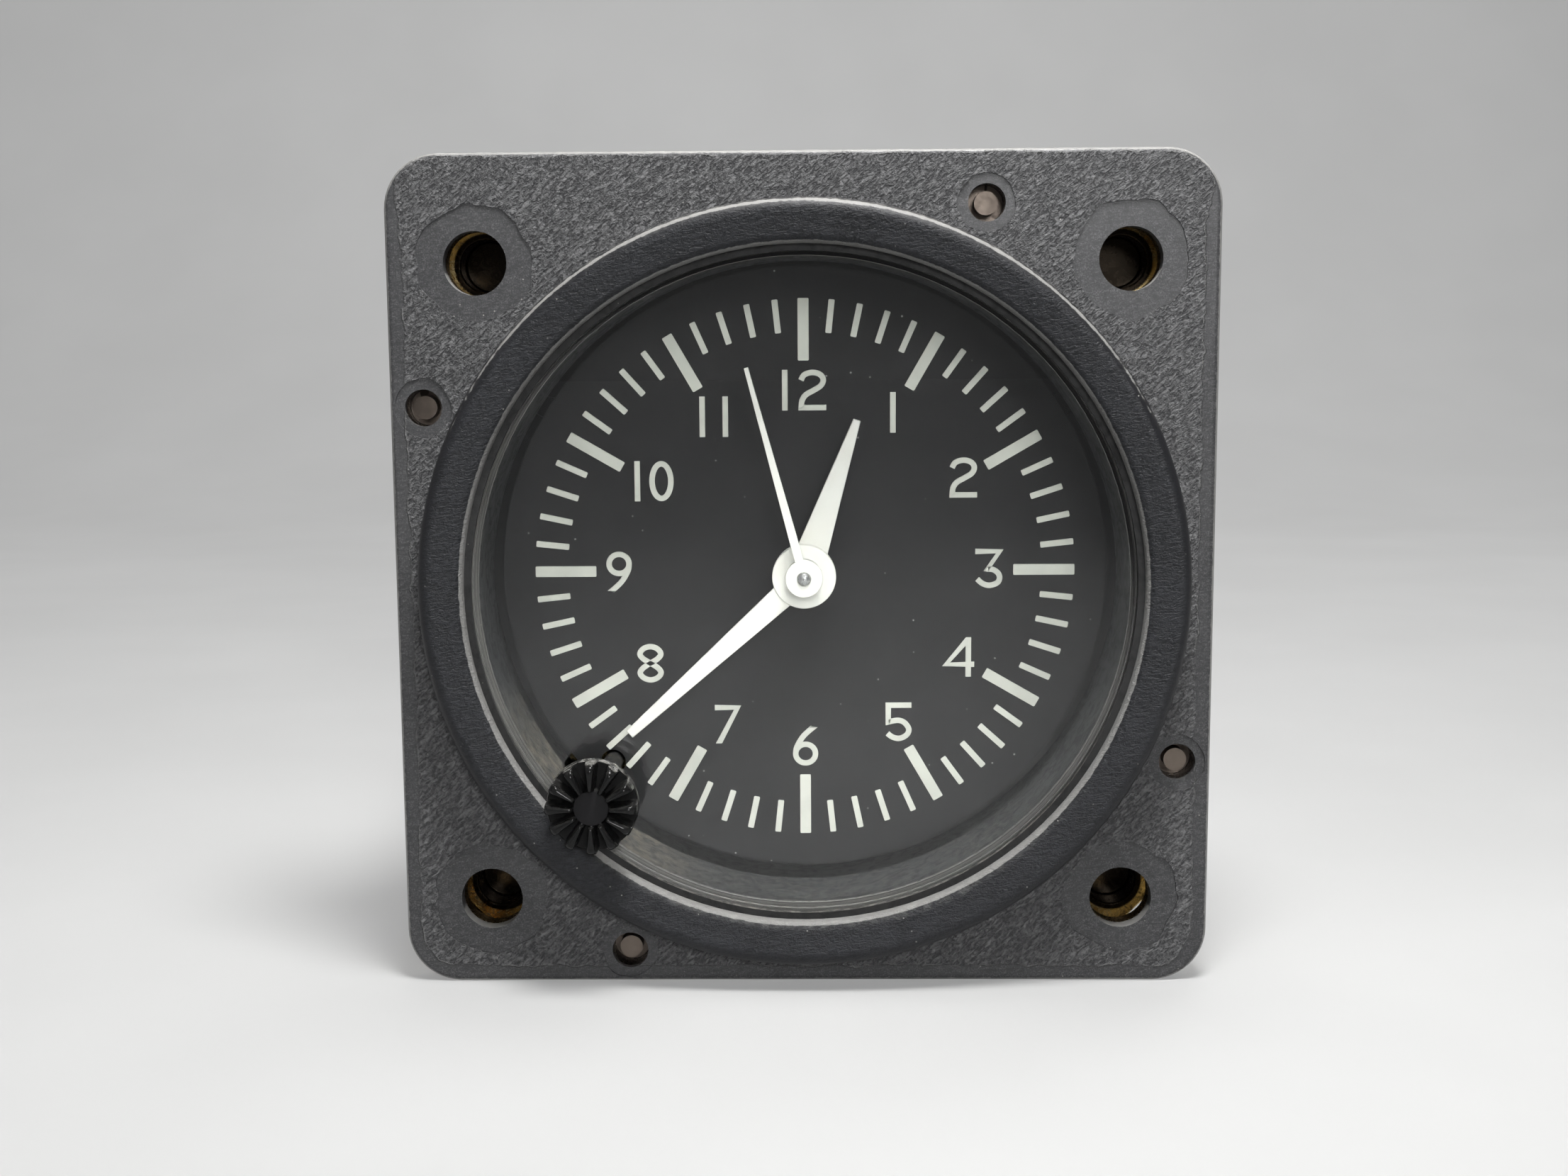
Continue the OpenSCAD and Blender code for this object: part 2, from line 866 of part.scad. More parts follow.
module dial() {
  color("black") upright() difference() {
    disc(dial_r, dial_depth, dial_rear);
    disc(dial_hole_r, dial_depth - cut, dial_rear + cut);
    at(set_at) disc(shaft_hole_r, dial_depth - cut, dial_rear + cut);
  }
}

// straight stroke with round ends
module stroke(p, q) {
  len = norm(q - p);
  turn = atan2(q[1] - p[1], q[0] - p[0]);
  at(p) rotate([0, 0, turn]) {
    translate([0, -stroke_w / 2, 0]) cube([len, stroke_w, mark_t]);
    cylinder(r = stroke_w / 2, h = mark_t);
    translate([len, 0, 0]) cylinder(r = stroke_w / 2, h = mark_t);
  }
}

// curved stroke from one angle through a sweep
module bow(p, r, from, sweep) {
  at(p) rotate([0, 0, from]) rotate_extrude(angle = sweep) {
    translate([r - stroke_w / 2, 0]) square([stroke_w, mark_t]);
  }
}

module digit(n) {
  h = digit_half;
  b = digit_bowl;
  w = digit_wide;
  low = digit_low;
  if (n == 0) {
    bow([0, h - w], w, 0, 180);
    bow([0, w - h], w, 180, 180);
    stroke([-w, w - h], [-w, h - w]);
    stroke([w, w - h], [w, h - w]);
  }
  if (n == 1) {
    stroke([0, -h], [0, h]);
  }
  if (n == 2) {
    bow([0, h - b], b, -two_dip, two_sweep);
    stroke([b * cos(two_dip), h - b - b * sin(two_dip)], [-b, -h]);
    stroke([-b, -h], [b, -h]);
  }
  if (n == 3) {
    stroke([-b, h], [b, h]);
    stroke([b, h], [0, 2 * low - h]);
    bow([0, low - h], low, bowl_from, three_sweep);
  }
  if (n == 4) {
    stroke([four_stem, -h], [four_stem, h]);
    stroke([four_stem, h], [-four_half, four_bar]);
    stroke([-four_half, four_bar], [four_half, four_bar]);
  }
  if (n == 5) {
    stroke([five_left, h], [five_right, h]);
    stroke([five_left, h], [low * cos(five_join), low - h + low * sin(five_join)]);
    bow([0, low - h], low, bowl_from, five_sweep);
  }
  if (n == 6) {
    bow([0, b - h], b, 0, 360);
    stroke([-b, b - h], [-b, h - b]);
    bow([0, h - b], b, six_from, six_sweep);
  }
  if (n == 7) {
    stroke([-b, h], [b, h]);
    stroke([b, h], [seven_foot, -h]);
  }
  if (n == 8) {
    bow([0, h - b], b, 0, 360);
    bow([0, b - h], b, 0, 360);
  }
  if (n == 9) {
    rotate([0, 0, 180]) digit(6);
  }
}

// hour number, one or two digits
module numeral(n) {
  step = n == 11 ? one_step : digit_step;
  if (n < 10) {
    digit(n);
  } else {
    at([-step, 0]) digit(1);
    at([step, 0]) digit(n - 10);
  }
}

module dial_marks() {
  color("white") upright() {
    difference() {
      for (k = [0 : 59]) {
        major = k % 5 == 0;
        len = major ? major_len : minor_len;
        w = major ? major_w : minor_w;
        rotate([0, 0, -minute_step * k]) {
          translate([-w / 2, tick_r - len, -dial_depth]) cube([w, len, mark_t]);
        }
      }
      at(set_at) disc(shaft_hole_r, dial_depth - cut, dial_depth + cut);
    }
    translate([0, 0, -dial_depth]) for (n = [1 : 12]) {
      at(ray(numeral_r, 90 - hour_step * n)) numeral(n);
    }
  }
}

module dial_feet() {
  color("silver") upright() for (a = foot_angles) {
    polar(foot_at, a) {
      disc(foot_shoulder_r, dial_rear, plate_front);
      disc(foot_r, plate_front - cut, plate_rear + foot_nut_t + foot_show);
    }
  }
}

module foot_nuts() {
  color("silver") upright() for (a = foot_angles) {
    polar(foot_at, a) difference() {
      sheet(plate_rear, plate_rear + foot_nut_t) circle(r = foot_nut_r, $fn = 6);
      disc(foot_r + press_gap, plate_rear - cut, plate_rear + foot_nut_t + cut);
    }
  }
}

// pivot holes of the train
module pivot_holes(front, rear) {
  for (p = [third_at, inter_at, rotor_at]) {
    at(p) disc(pivot_r + pivot_gap, front, rear);
  }
}

module front_plate() {
  color("darkkhaki") upright() difference() {
    union() {
      disc(front_plate_r, plate_front, plate_rear);
      for (x = [coil_left, coil_right]) {
        at([x, coil_y]) disc(stator_stud_r, plate_rear - cut, stator_front);
      }
    }
    for (x = [coil_left, coil_right]) {
      at([x, coil_y]) disc(stator_screw_r + press_gap, plate_rear, stator_front + cut);
    }
    disc(tube_r + bush_wall + press_gap, plate_front - cut, plate_rear + cut);
    pivot_holes(plate_front - cut, plate_rear + cut);
    at(motion_at) disc(post_r + press_gap, plate_front - cut, plate_rear + cut);
    at(set_at) disc(shaft_r + run_gap, plate_front - cut, plate_rear + cut);
    at(yoke_at) disc(guide_r + press_gap, plate_front - cut, plate_rear + cut);
    for (a = foot_angles) {
      polar(foot_at, a) disc(foot_r + seat_gap, plate_front - cut, plate_rear + cut);
    }
    for (a = boss_angles) {
      polar(boss_at, a) disc(plate_screw_r + seat_gap, plate_front - cut, plate_rear + cut);
    }
    for (a = pillar_angles) {
      polar(pillar_at, a) disc(pillar_screw_r + press_gap, plate_front - cut, plate_rear + cut);
    }
  }
}

module centre_bush() {
  color("goldenrod") upright() difference() {
    union() {
      disc(tube_r + bush_wall, plate_front - bush_flange_t, plate_rear);
      disc(bush_flange_r, plate_front - bush_flange_t, plate_front);
    }
    disc(tube_r + run_gap, plate_front - bush_flange_t - cut, plate_rear + cut);
  }
}

module plate_screws() {
  color("silver") upright() for (a = boss_angles) {
    polar(boss_at, a) {
      front_screw(plate_front, plate_screw_head_r, plate_screw_head_h, plate_screw_r, plate_screw_len);
    }
  }
}

module rear_plate() {
  color("darkkhaki") upright() difference() {
    disc(bridge_r, bridge_front, bridge_rear);
    disc(pivot_r + pivot_gap, bridge_front - cut, bridge_rear + cut);
    pivot_holes(bridge_front - cut, bridge_rear + cut);
    for (a = pillar_angles) {
      polar(pillar_at, a) disc(pillar_screw_r + seat_gap, bridge_front - cut, bridge_rear + cut);
    }
  }
}

module plate_pillars() {
  color("khaki") upright() for (a = pillar_angles) {
    polar(pillar_at, a) difference() {
      union() {
        disc(pillar_r, plate_rear, bridge_front);
        disc(pillar_screw_r, plate_front + seat_gap, plate_rear + cut);
      }
      disc(pillar_screw_r + press_gap, bridge_front - pillar_screw_grip - cut, bridge_front + cut);
    }
  }
}

module board_spacers() {
  color("white") upright() for (a = pillar_angles) {
    polar(pillar_at, a) tube(pillar_r, pillar_screw_r + seat_gap, bridge_rear, board_front);
  }
}

module movement_screws() {
  grip = board_rear - bridge_front + pillar_screw_grip;
  color("silver") upright() for (a = pillar_angles) {
    polar(pillar_at, a) rear_screw(board_rear, pillar_head_r, pillar_head_h, pillar_screw_r, grip);
  }
}

// fixed stud that carries the motion wheel
module motion_post() {
  color("silver") upright() at(motion_at) {
    disc(post_r, hour_front - post_show, plate_rear);
    disc(post_hub_r, motion_rear + mesh_over, plate_front);
  }
}

// soft iron plate with rotor bore and two legs to the coil
module stator() {
  bore_x = rotor_at[0];
  bore_y = rotor_at[1];
  bore_in = bore_side - bore_chamfer;
  foot = coil_y - leg_foot;
  color("slategray") upright() difference() {
    sheet(stator_front, stator_rear) polygon([
      [coil_left - leg_half, foot],
      [coil_left + leg_half, foot],
      [coil_left + leg_half, coil_y + leg_rise],
      [bore_x - bore_side, bore_y - bore_in],
      [bore_x - bore_in, bore_y - bore_side],
      [coil_right - leg_half, coil_y + leg_rise],
      [coil_right - leg_half, foot],
      [coil_right + leg_half, foot],
      [coil_right + leg_half, coil_y + leg_rise],
      [bore_x + bore_side, bore_y - bore_in],
      [bore_x + bore_side, bore_y + bore_in],
      [bore_x + bore_in, bore_y + bore_side],
      [bore_x - bore_in, bore_y + bore_side],
      [coil_left - leg_half, coil_y + leg_back]]);
    at(rotor_at) disc(stator_bore_r, stator_front - cut, stator_rear + cut);
    for (x = [coil_left, coil_right]) {
      at([x, coil_y]) disc(stator_screw_r + press_gap, stator_front - cut, stator_rear + cut);
    }
  }
}

module coil_core() {
  span = coil_right - coil_left;
  color("slategray") upright() difference() {
    translate([(coil_right + coil_left) / 2, coil_y, 0]) {
      slab(span + 2 * core_end, core_h, stator_rear, stator_rear + core_t);
    }
    for (x = [coil_left, coil_right]) {
      at([x, coil_y]) disc(stator_screw_r + seat_gap, stator_rear - cut, stator_rear + core_t + cut);
    }
  }
}

// turns a bar so that it lies along the coil
module along_coil() {
  translate([0, coil_y, -stator_rear - core_t / 2]) rotate([0, 90, 0]) children();
}

module coil_bobbin() {
  core_slot = [core_t + 2 * core_gap, core_h + 2 * core_gap, 4 * coil_half];
  inner_r = norm([core_t, core_h]) / 2 + tube_wall;
  color("ivory") upright() along_coil() difference() {
    union() {
      cylinder(r = inner_r, h = 2 * coil_half, center = true);
      for (s = [-1, 1]) {
        translate([0, 0, s * (coil_half - bobbin_wall / 2)]) {
          cylinder(r = bobbin_r, h = bobbin_wall, center = true);
        }
      }
    }
    cube(core_slot, center = true);
  }
}

module coil_winding() {
  inner_r = norm([core_t, core_h]) / 2 + tube_wall;
  len = 2 * coil_half - 2 * bobbin_wall - 2 * press_gap;
  color("chocolate") upright() along_coil() difference() {
    cylinder(r = winding_r, h = len, center = true);
    cylinder(r = inner_r + press_gap, h = len + cut, center = true);
  }
}

module stator_screws() {
  seat = stator_rear + core_t;
  len = core_t + stator_t + stator_screw_grip;
  color("silver") upright() for (x = [coil_left, coil_right]) {
    at([x, coil_y]) rear_screw(seat, stator_head_r, stator_head_h, stator_screw_r, len);
  }
}

// row of link pins between the two boards
module link_places() {
  for (k = link_steps) {
    at([k * link_pitch, link_y]) children();
  }
}

module circuit_board() {
  color("seagreen") upright() difference() {
    disc(bridge_r, board_front, board_rear);
    for (a = pillar_angles) {
      polar(pillar_at, a) disc(pillar_screw_r + seat_gap, board_front - cut, board_rear + cut);
    }
    link_places() disc(link_pin_r + run_gap, board_front - cut, board_rear + cut);
  }
}

module quartz_crystal() {
  color("silver") upright() at(crystal_at) translate([0, 0, -board_rear - crystal_r]) {
    rotate([0, 90, 0]) cylinder(r = crystal_r, h = crystal_len);
  }
}

module driver_chip() {
  color("black") upright() at(chip_at) {
    slab(chip_size[0], chip_size[1], board_rear, board_rear + chip_size[2]);
  }
}

// four link pins between the two boards in one plastic block
module link_header() {
  color("black") upright() {
    at([0, link_y]) slab(len(link_steps) * link_pitch, link_depth, board_rear, power_front);
    link_places() disc(link_pin_r, board_front - link_show, power_rear + link_show);
  }
}

module power_board() {
  color("seagreen") upright() difference() {
    disc(power_r, power_front, power_rear);
    for (a = power_post_angles) {
      polar(power_post_at, a) disc(pillar_screw_r + seat_gap, power_front - cut, power_rear + cut);
    }
    link_places() disc(link_pin_r + run_gap, power_front - cut, power_rear + cut);
    contact_places() disc(contact_tail_r + run_gap, power_front - cut, power_rear + cut);
  }
}

module power_screws() {
  color("silver") upright() for (a = power_post_angles) {
    polar(power_post_at, a) {
      front_screw(power_front, pillar_head_r, pillar_head_h, pillar_screw_r, power_screw_len);
    }
  }
}

module regulator() {
  color("black") upright() at(regulator_at) {
    slab(regulator_size[0], regulator_size[1], power_rear, power_rear + regulator_size[2]);
    at([0, (regulator_size[1] + tab_size[1]) / 2 - tab_sink]) {
      slab(tab_size[0], tab_size[1], power_rear, power_rear + tab_size[2]);
    }
  }
}

module capacitors() {
  color("steelblue") upright() for (x = capacitor_x) {
    at([x, capacitor_y]) disc(capacitor_r, power_rear, power_rear + capacitor_len);
  }
}

// two rows of contacts, five and four
module contact_places() {
  for (k = contact_steps[0]) {
    at([k * contact_pitch, contact_row]) children();
  }
  for (k = contact_steps[1]) {
    at([k * contact_pitch, -contact_row]) children();
  }
}

// D shaped outline, smaller by a wall
module d_shape(in) {
  w = shell_w / 2 - in;
  h = shell_h / 2 - in;
  polygon([[-w, h], [-w + shell_lean, -h], [w - shell_lean, -h], [w, h]]);
}

module connector_shell() {
  flange_rear = cover_rear + shell_flange_t;
  color("silver") upright() difference() {
    union() {
      slab(shell_flange[0], shell_flange[1], cover_rear, flange_rear);
      sheet(cover_rear, flange_rear + shell_len) d_shape(0);
    }
    sheet(cover_rear - cut, flange_rear + shell_len + cut) d_shape(shell_wall);
    for (s = [-1, 1]) {
      at([s * jack_pitch / 2, 0]) disc(jack_r + seat_gap, cover_rear - cut, flange_rear + cut);
    }
  }
}

module connector_insert() {
  core_rear = cover_rear + shell_flange_t + shell_len - insert_sink;
  color("navy") upright() difference() {
    union() {
      slab(insert_block[0], insert_block[1], case_depth - insert_rear_len, cover_rear);
      sheet(cover_rear - cut, core_rear) d_shape(shell_wall + press_gap);
    }
    contact_places() {
      disc(contact_r + press_gap, case_depth, core_rear + cut);
      disc(contact_tail_r + press_gap, case_depth - insert_rear_len - cut, case_depth + cut);
    }
  }
}

module connector_contacts() {
  contact_rear = cover_rear + shell_flange_t + shell_len - contact_sink;
  color("gold") upright() contact_places() difference() {
    union() {
      disc(contact_r, case_depth, contact_rear);
      disc(contact_tail_r, power_front - contact_tail_show, case_depth + cut);
    }
    disc(contact_bore_r, contact_rear - contact_bore_len, contact_rear + cut);
  }
}

module jack_posts() {
  seat = cover_rear + shell_flange_t;
  across_r = jack_across / sqrt(3);
  color("silver") upright() for (s = [-1, 1]) {
    at([s * jack_pitch / 2, 0]) difference() {
      union() {
        sheet(seat, seat + jack_len) circle(r = across_r, $fn = 6);
        disc(jack_r, case_depth - jack_end, seat + cut);
      }
      disc(jack_bore_r, seat + jack_len - jack_bore_len, seat + jack_len + cut);
    }
  }
}

// flanged bush that carries the setting shaft in the glass
module glass_bush() {
  color("goldenrod") upright() at(set_at) difference() {
    union() {
      disc(glass_bush_flange_r, glass_front - glass_bush_flange_t, glass_front);
      disc(glass_bush_r, glass_front - cut / 2, glass_rear + glass_nut_t);
    }
    disc(shaft_r + run_gap, glass_front - 2 * cut, glass_rear + glass_nut_t + cut);
    disc(shaft_r + seal_t, glass_rear - seal_t, glass_rear + glass_nut_t - seal_t / 2);
  }
}

module shaft_seal() {
  mid = (2 * glass_rear + glass_nut_t - 1.5 * seal_t) / 2;
  ring_w = (seal_t - pivot_gap - press_gap) / 2;
  color("black") upright() at(set_at) translate([0, 0, -mid]) rotate_extrude() {
    translate([shaft_r + pivot_gap + ring_w, 0]) circle(r = ring_w);
  }
}

// fixed pin that keeps the setting yoke from turning
module guide_pin() {
  rear = yoke_front + yoke_t + guide_show;
  color("silver") upright() at(yoke_at) disc(guide_r, plate_front + seat_gap, rear);
}

// tapered blade with a squared tip, pointing up
module blade(len, root_w, tip_w, front) {
  sheet(front, front + hand_t) {
    polygon([[-root_w / 2, 0], [root_w / 2, 0], [tip_w / 2, len], [-tip_w / 2, len]]);
  }
}

module hour_hand() {
  color("white") upright() rotate([0, 0, -hour_angle]) difference() {
    union() {
      blade(hour_len, hour_root_w, hour_tip_w, hour_hand_at);
      disc(hour_hub_r, hour_hub_front, hour_hub_front + hub_len);
    }
    disc(hour_pipe_r + press_gap, hour_hub_front - cut, hour_hub_front + hub_len + cut);
  }
}

// hour wheel with its pipe in one piece
module hour_wheel() {
  turn = mesh_turn(motion_angle, motion_pinion_z, motion_angle + 180, hour_z);
  color("goldenrod") upright() difference() {
    union() {
      pierced_gear(hour_z, hour_m, hour_front, hour_rear, turn, hour_in_r, spokes);
      disc(hour_pipe_r, pipe_front, hour_rear);
    }
    disc(hour_in_r, pipe_front - cut, hour_rear + cut);
  }
}

module minute_hand() {
  color("white") upright() rotate([0, 0, -minute_angle]) difference() {
    union() {
      blade(minute_len, minute_root_w, minute_tip_w, minute_hand_at);
      disc(minute_hub_r, minute_hub_front, minute_hub_front + hub_len);
    }
    disc(tube_r + press_gap, minute_hub_front - cut, minute_hub_front + hub_len + cut);
  }
}

// minute tube with the cannon pinion, runs in the plate bush
module minute_tube() {
  color("silver") upright() difference() {
    union() {
      disc(tube_r, tube_front, centre_front - run_gap);
      disc(clutch_r, plate_rear, centre_rear + clutch_t + collar_t);
      disc(collar_r, centre_rear + clutch_t, centre_rear + clutch_t + collar_t);
      pinion(cannon_z, work_m, motion_front, motion_rear, motion_angle);
    }
    disc(tube_in_r, tube_front - cut, centre_rear + clutch_t + collar_t + cut);
  }
}

// spring washer that lets the centre wheel slip while the hands are set
module clutch_spring() {
  color("peru") upright() difference() {
    disc(clutch_r + clutch_rim, centre_rear + run_gap, centre_rear + clutch_t - run_gap);
    disc(clutch_r + press_gap, centre_rear - cut, centre_rear + clutch_t + cut);
  }
}

module second_hand() {
  color("white") upright() rotate([0, 0, -second_angle]) difference() {
    union() {
      blade(second_len, second_root_w, second_tip_w, second_hand_at);
      disc(second_hub_r, second_hub_front, second_hub_front + second_hub_len);
    }
    disc(second_r + press_gap, second_hub_front - cut, second_hub_front + second_hub_len + cut);
  }
}

module second_arbor() {
  pinion_rear = third_rear + mesh_over;
  color("silver") upright() {
    disc(second_r, pin_front + dome_r / 2, pinion_rear);
    intersection() {
      translate([0, 0, -pin_front - dome_r]) sphere(r = dome_r);
      disc(second_r, pin_front - cut, pin_front + dome_r);
    }
    pinion(train_pinion_z, third_m, third_front, third_rear, third_angle);
    disc(arbor_r, third_rear, bridge_front - shake);
    disc(pivot_r, bridge_front - cut, bridge_front + pivot_in);
  }
}

module second_wheel() {
  turn = mesh_turn(0, train_pinion_z, 180, second_z);
  color("goldenrod") upright() {
    pierced_gear(second_z, second_m, second_front, second_rear, turn, arbor_r + press_gap, spokes);
  }
}

module centre_wheel() {
  turn = mesh_turn(third_angle, train_pinion_z, third_angle + 180, centre_z);
  color("goldenrod") upright() {
    pierced_gear(centre_z, centre_m, centre_front, centre_rear, turn, clutch_r + run_gap, spokes);
  }
}

// plain arbor with a pivot at each end
module arbor() {
  disc(arbor_r, plate_rear + shake, bridge_front - shake);
  disc(pivot_r, plate_rear - pivot_in, bridge_front + pivot_in);
}

module third_wheel() {
  turn = mesh_turn(third_angle, train_pinion_z, third_angle, third_z);
  color("goldenrod") upright() at(third_at) {
    arbor();
    pinion(train_pinion_z, centre_m, centre_front, centre_rear, third_angle);
    pierced_gear(third_z, third_m, third_front, third_rear, turn, arbor_r / 2, spokes);
  }
}

module intermediate_wheel() {
  turn = mesh_turn(rotor_turn, train_pinion_z, rotor_turn + 180, inter_z);
  color("goldenrod") upright() at(inter_at) {
    arbor();
    pinion(train_pinion_z, second_m, second_front, second_rear, 0);
    pierced_gear(inter_z, inter_m, inter_front, inter_rear, turn, arbor_r / 2, spokes);
  }
}

// magnet rotor on its arbor with the drive pinion
module rotor() {
  color("dimgray") upright() at(rotor_at) {
    arbor();
    disc(magnet_r, magnet_front, magnet_rear);
    pinion(train_pinion_z, inter_m, inter_front, inter_rear, rotor_turn);
  }
}

module motion_wheel() {
  turn = mesh_turn(motion_angle, cannon_z, motion_angle, motion_z);
  color("goldenrod") upright() at(motion_at) difference() {
    union() {
      pierced_gear(motion_z, work_m, motion_front, motion_rear, turn, post_r, motion_spokes);
      pinion(motion_pinion_z, hour_m, hour_front, hour_rear, motion_angle);
      disc(post_hub_r, hour_rear, motion_rear + mesh_over / 2);
    }
    disc(post_r + pivot_gap, hour_front - cut, motion_rear + cut);
  }
}

// flat yoke at the end of the shaft, slides on the guide pin and stops the pull
module setting_yoke() {
  color("goldenrod") upright() difference() {
    union() {
      at(set_at) disc(yoke_r, yoke_front, yoke_front + yoke_t);
      at(yoke_at) disc(yoke_eye_r, yoke_front, yoke_front + yoke_t);
      at(set_at) rotate([0, 0, yoke_dir]) translate([yoke_reach / 2, 0, 0]) {
        slab(yoke_reach, yoke_w, yoke_front, yoke_front + yoke_t);
      }
    }
    at(set_at) disc(tail_r + run_gap, yoke_front - cut, yoke_front + yoke_t + cut);
    at(yoke_at) disc(guide_r + run_gap, yoke_front - cut, yoke_front + yoke_t + cut);
  }
}

// shaft with a peened head behind the yoke
module setting_shaft() {
  yoke_rear = yoke_front + yoke_t;
  color("silver") upright() at(set_at) {
    disc(shaft_r, knob_front + knob_hole_len + knob_web, yoke_front - run_gap);
    disc(tail_r, yoke_front - cut, yoke_rear + peen_t);
    disc(peen_r, yoke_rear + run_gap, yoke_rear + peen_t);
  }
}

module setting_pinion() {
  motion_phase = mesh_turn(motion_angle, cannon_z, motion_angle, motion_z);
  turn = mesh_turn(motion_phase, motion_z, set_dir, set_z);
  color("goldenrod") upright() at(set_at) difference() {
    gear(set_z, work_m, set_front, set_rear, turn, pinion_steps);
    disc(shaft_r + press_gap, set_front - cut, set_rear + cut);
  }
}

// side profile of the knob with a rounded front edge
module knob_section() {
  square([knob_r, knob_len - knob_edge_r]);
  square([knob_r - knob_edge_r, knob_len]);
  translate([knob_r - knob_edge_r, knob_len - knob_edge_r]) circle(r = knob_edge_r);
}

// ribbed knob with a flat bottomed hole in its face
module setting_knob() {
  flute_len = knob_len * flute_share;
  color("black") upright() at(set_at) difference() {
    translate([0, 0, -knob_rear]) rotate_extrude() knob_section();
    disc(knob_hole_r, knob_front - cut, knob_front + knob_hole_len);
    disc(shaft_r + press_gap, knob_front + knob_hole_len + knob_web, knob_rear + cut);
    for (k = [0 : knob_ridges - 1]) {
      rotate([0, 0, (k + 0.5) * 360 / knob_ridges]) {
        translate([knob_r + knob_flute_r * flute_out, 0, 0]) {
          disc(knob_flute_r, knob_front - cut, knob_front + flute_len);
        }
        translate([knob_hole_r - cut / 2, 0, -knob_front]) rotate([0, 90, 0]) {
          cylinder(r1 = knob_flute_r * groove_in, r2 = knob_flute_r * groove_out, h = knob_r);
        }
      }
    }
  }
}

bezel();
glass_gasket();
glass();
reflector_ring();
screw_inserts();
bezel_screws();
panel_nuts();
nut_clips();
case();
rear_cover();
cover_screws();
dial();
dial_marks();
dial_feet();
foot_nuts();
front_plate();
centre_bush();
plate_screws();
rear_plate();
plate_pillars();
board_spacers();
movement_screws();
motion_post();
stator();
coil_core();
coil_bobbin();
coil_winding();
stator_screws();
circuit_board();
quartz_crystal();
driver_chip();
link_header();
power_board();
power_screws();
regulator();
capacitors();
connector_shell();
connector_insert();
connector_contacts();
jack_posts();
glass_bush();
shaft_seal();
guide_pin();
hour_hand();
hour_wheel();
minute_hand();
minute_tube();
clutch_spring();
second_hand();
second_arbor();
second_wheel();
centre_wheel();
third_wheel();
intermediate_wheel();
rotor();
motion_wheel();
setting_yoke();
setting_shaft();
setting_pinion();
setting_knob();
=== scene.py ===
# %% [markdown]
# # An aircraft panel clock, dressed for its portrait
# The clock is a square flange with a raised round ring, a flat glass, a black dial with white hands and
# a small setting knob. Behind the flange sit the round case and its power connector. The solids come
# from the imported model, so everything here is finish and fine shape: no piece is moved or resized.

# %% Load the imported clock
import json
import math
import bmesh
import bpy
from mathutils import Euler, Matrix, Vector
from mathutils.noise import noise as wobble


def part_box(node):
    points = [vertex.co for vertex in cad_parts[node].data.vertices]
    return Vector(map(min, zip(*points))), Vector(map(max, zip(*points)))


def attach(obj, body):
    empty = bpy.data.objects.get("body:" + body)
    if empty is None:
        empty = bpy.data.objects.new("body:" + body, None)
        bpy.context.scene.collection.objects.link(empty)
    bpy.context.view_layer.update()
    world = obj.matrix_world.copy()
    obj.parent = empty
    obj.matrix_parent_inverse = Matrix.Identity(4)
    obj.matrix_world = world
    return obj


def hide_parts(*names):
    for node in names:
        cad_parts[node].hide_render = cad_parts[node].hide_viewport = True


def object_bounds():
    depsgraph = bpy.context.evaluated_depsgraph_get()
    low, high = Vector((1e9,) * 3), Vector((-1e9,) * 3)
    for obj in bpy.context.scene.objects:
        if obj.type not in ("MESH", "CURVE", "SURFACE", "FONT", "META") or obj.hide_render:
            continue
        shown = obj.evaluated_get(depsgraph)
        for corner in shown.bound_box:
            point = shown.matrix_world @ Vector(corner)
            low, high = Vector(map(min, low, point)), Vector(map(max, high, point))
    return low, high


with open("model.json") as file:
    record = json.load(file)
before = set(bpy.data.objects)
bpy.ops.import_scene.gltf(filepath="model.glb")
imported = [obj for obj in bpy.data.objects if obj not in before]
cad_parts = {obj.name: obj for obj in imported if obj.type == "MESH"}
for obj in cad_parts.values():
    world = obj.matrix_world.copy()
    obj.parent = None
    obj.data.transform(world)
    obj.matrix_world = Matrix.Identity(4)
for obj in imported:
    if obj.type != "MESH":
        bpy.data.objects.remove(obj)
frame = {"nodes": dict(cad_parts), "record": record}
nodes = frame["nodes"]
cad_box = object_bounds()
MM = 0.001
slot_of = {part["node"]: part["material_slot"] for part in frame["record"]["subparts"]}
body_of = {name: body for body, names in frame["record"]["behaviour"]["bodies"].items() for name in names}

# %% [markdown]
# ## Sizes read from the frame
# The finishes follow the real edges: the margin of the flange, the spot faces round its holes, the
# ring. Their places could be typed in, but then a changed part would wear its paint in the wrong
# place, so they are measured on the loaded nodes or taken from the record's mounts. Only radii that
# no box shows are typed.

# %% Measure the clock in millimetres
def span(name):
    low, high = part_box(name)
    return [value / MM for value in low], [value / MM for value in high]


mounts = {mount["name"]: mount["dims"] for mount in frame["record"]["mounts"]}
flange_low, flange_high = span("bezel")
FLANGE_HALF_W = flange_high[0]
FLANGE_HALF_H = (flange_high[2] - flange_low[2]) / 2
FLANGE_LIFT = (flange_high[2] + flange_low[2]) / 2
FLANGE_CORNER = 4.0
FLANGE_T = flange_high[1]
RING_R = mounts["panel_spigot"]["r_mm"]
HOLE_AT = mounts["panel_bolts"]["spacing_x_mm"] / 2
HOLE_R = mounts["panel_bolts"]["hole_r_mm"]
LIP_R = 24.75
DIAL_FRONT = span("dial")[0][1]
KNOB_LOW, KNOB_HIGH = span("setting_knob")
KNOB_R = (KNOB_HIGH[0] - KNOB_LOW[0]) / 2
KNOB_AT = ((KNOB_LOW[0] + KNOB_HIGH[0]) / 2, (KNOB_LOW[2] + KNOB_HIGH[2]) / 2)
print("flange", FLANGE_HALF_W * 2, "x", FLANGE_HALF_H * 2, "ring radius", RING_R, "knob at", KNOB_AT)

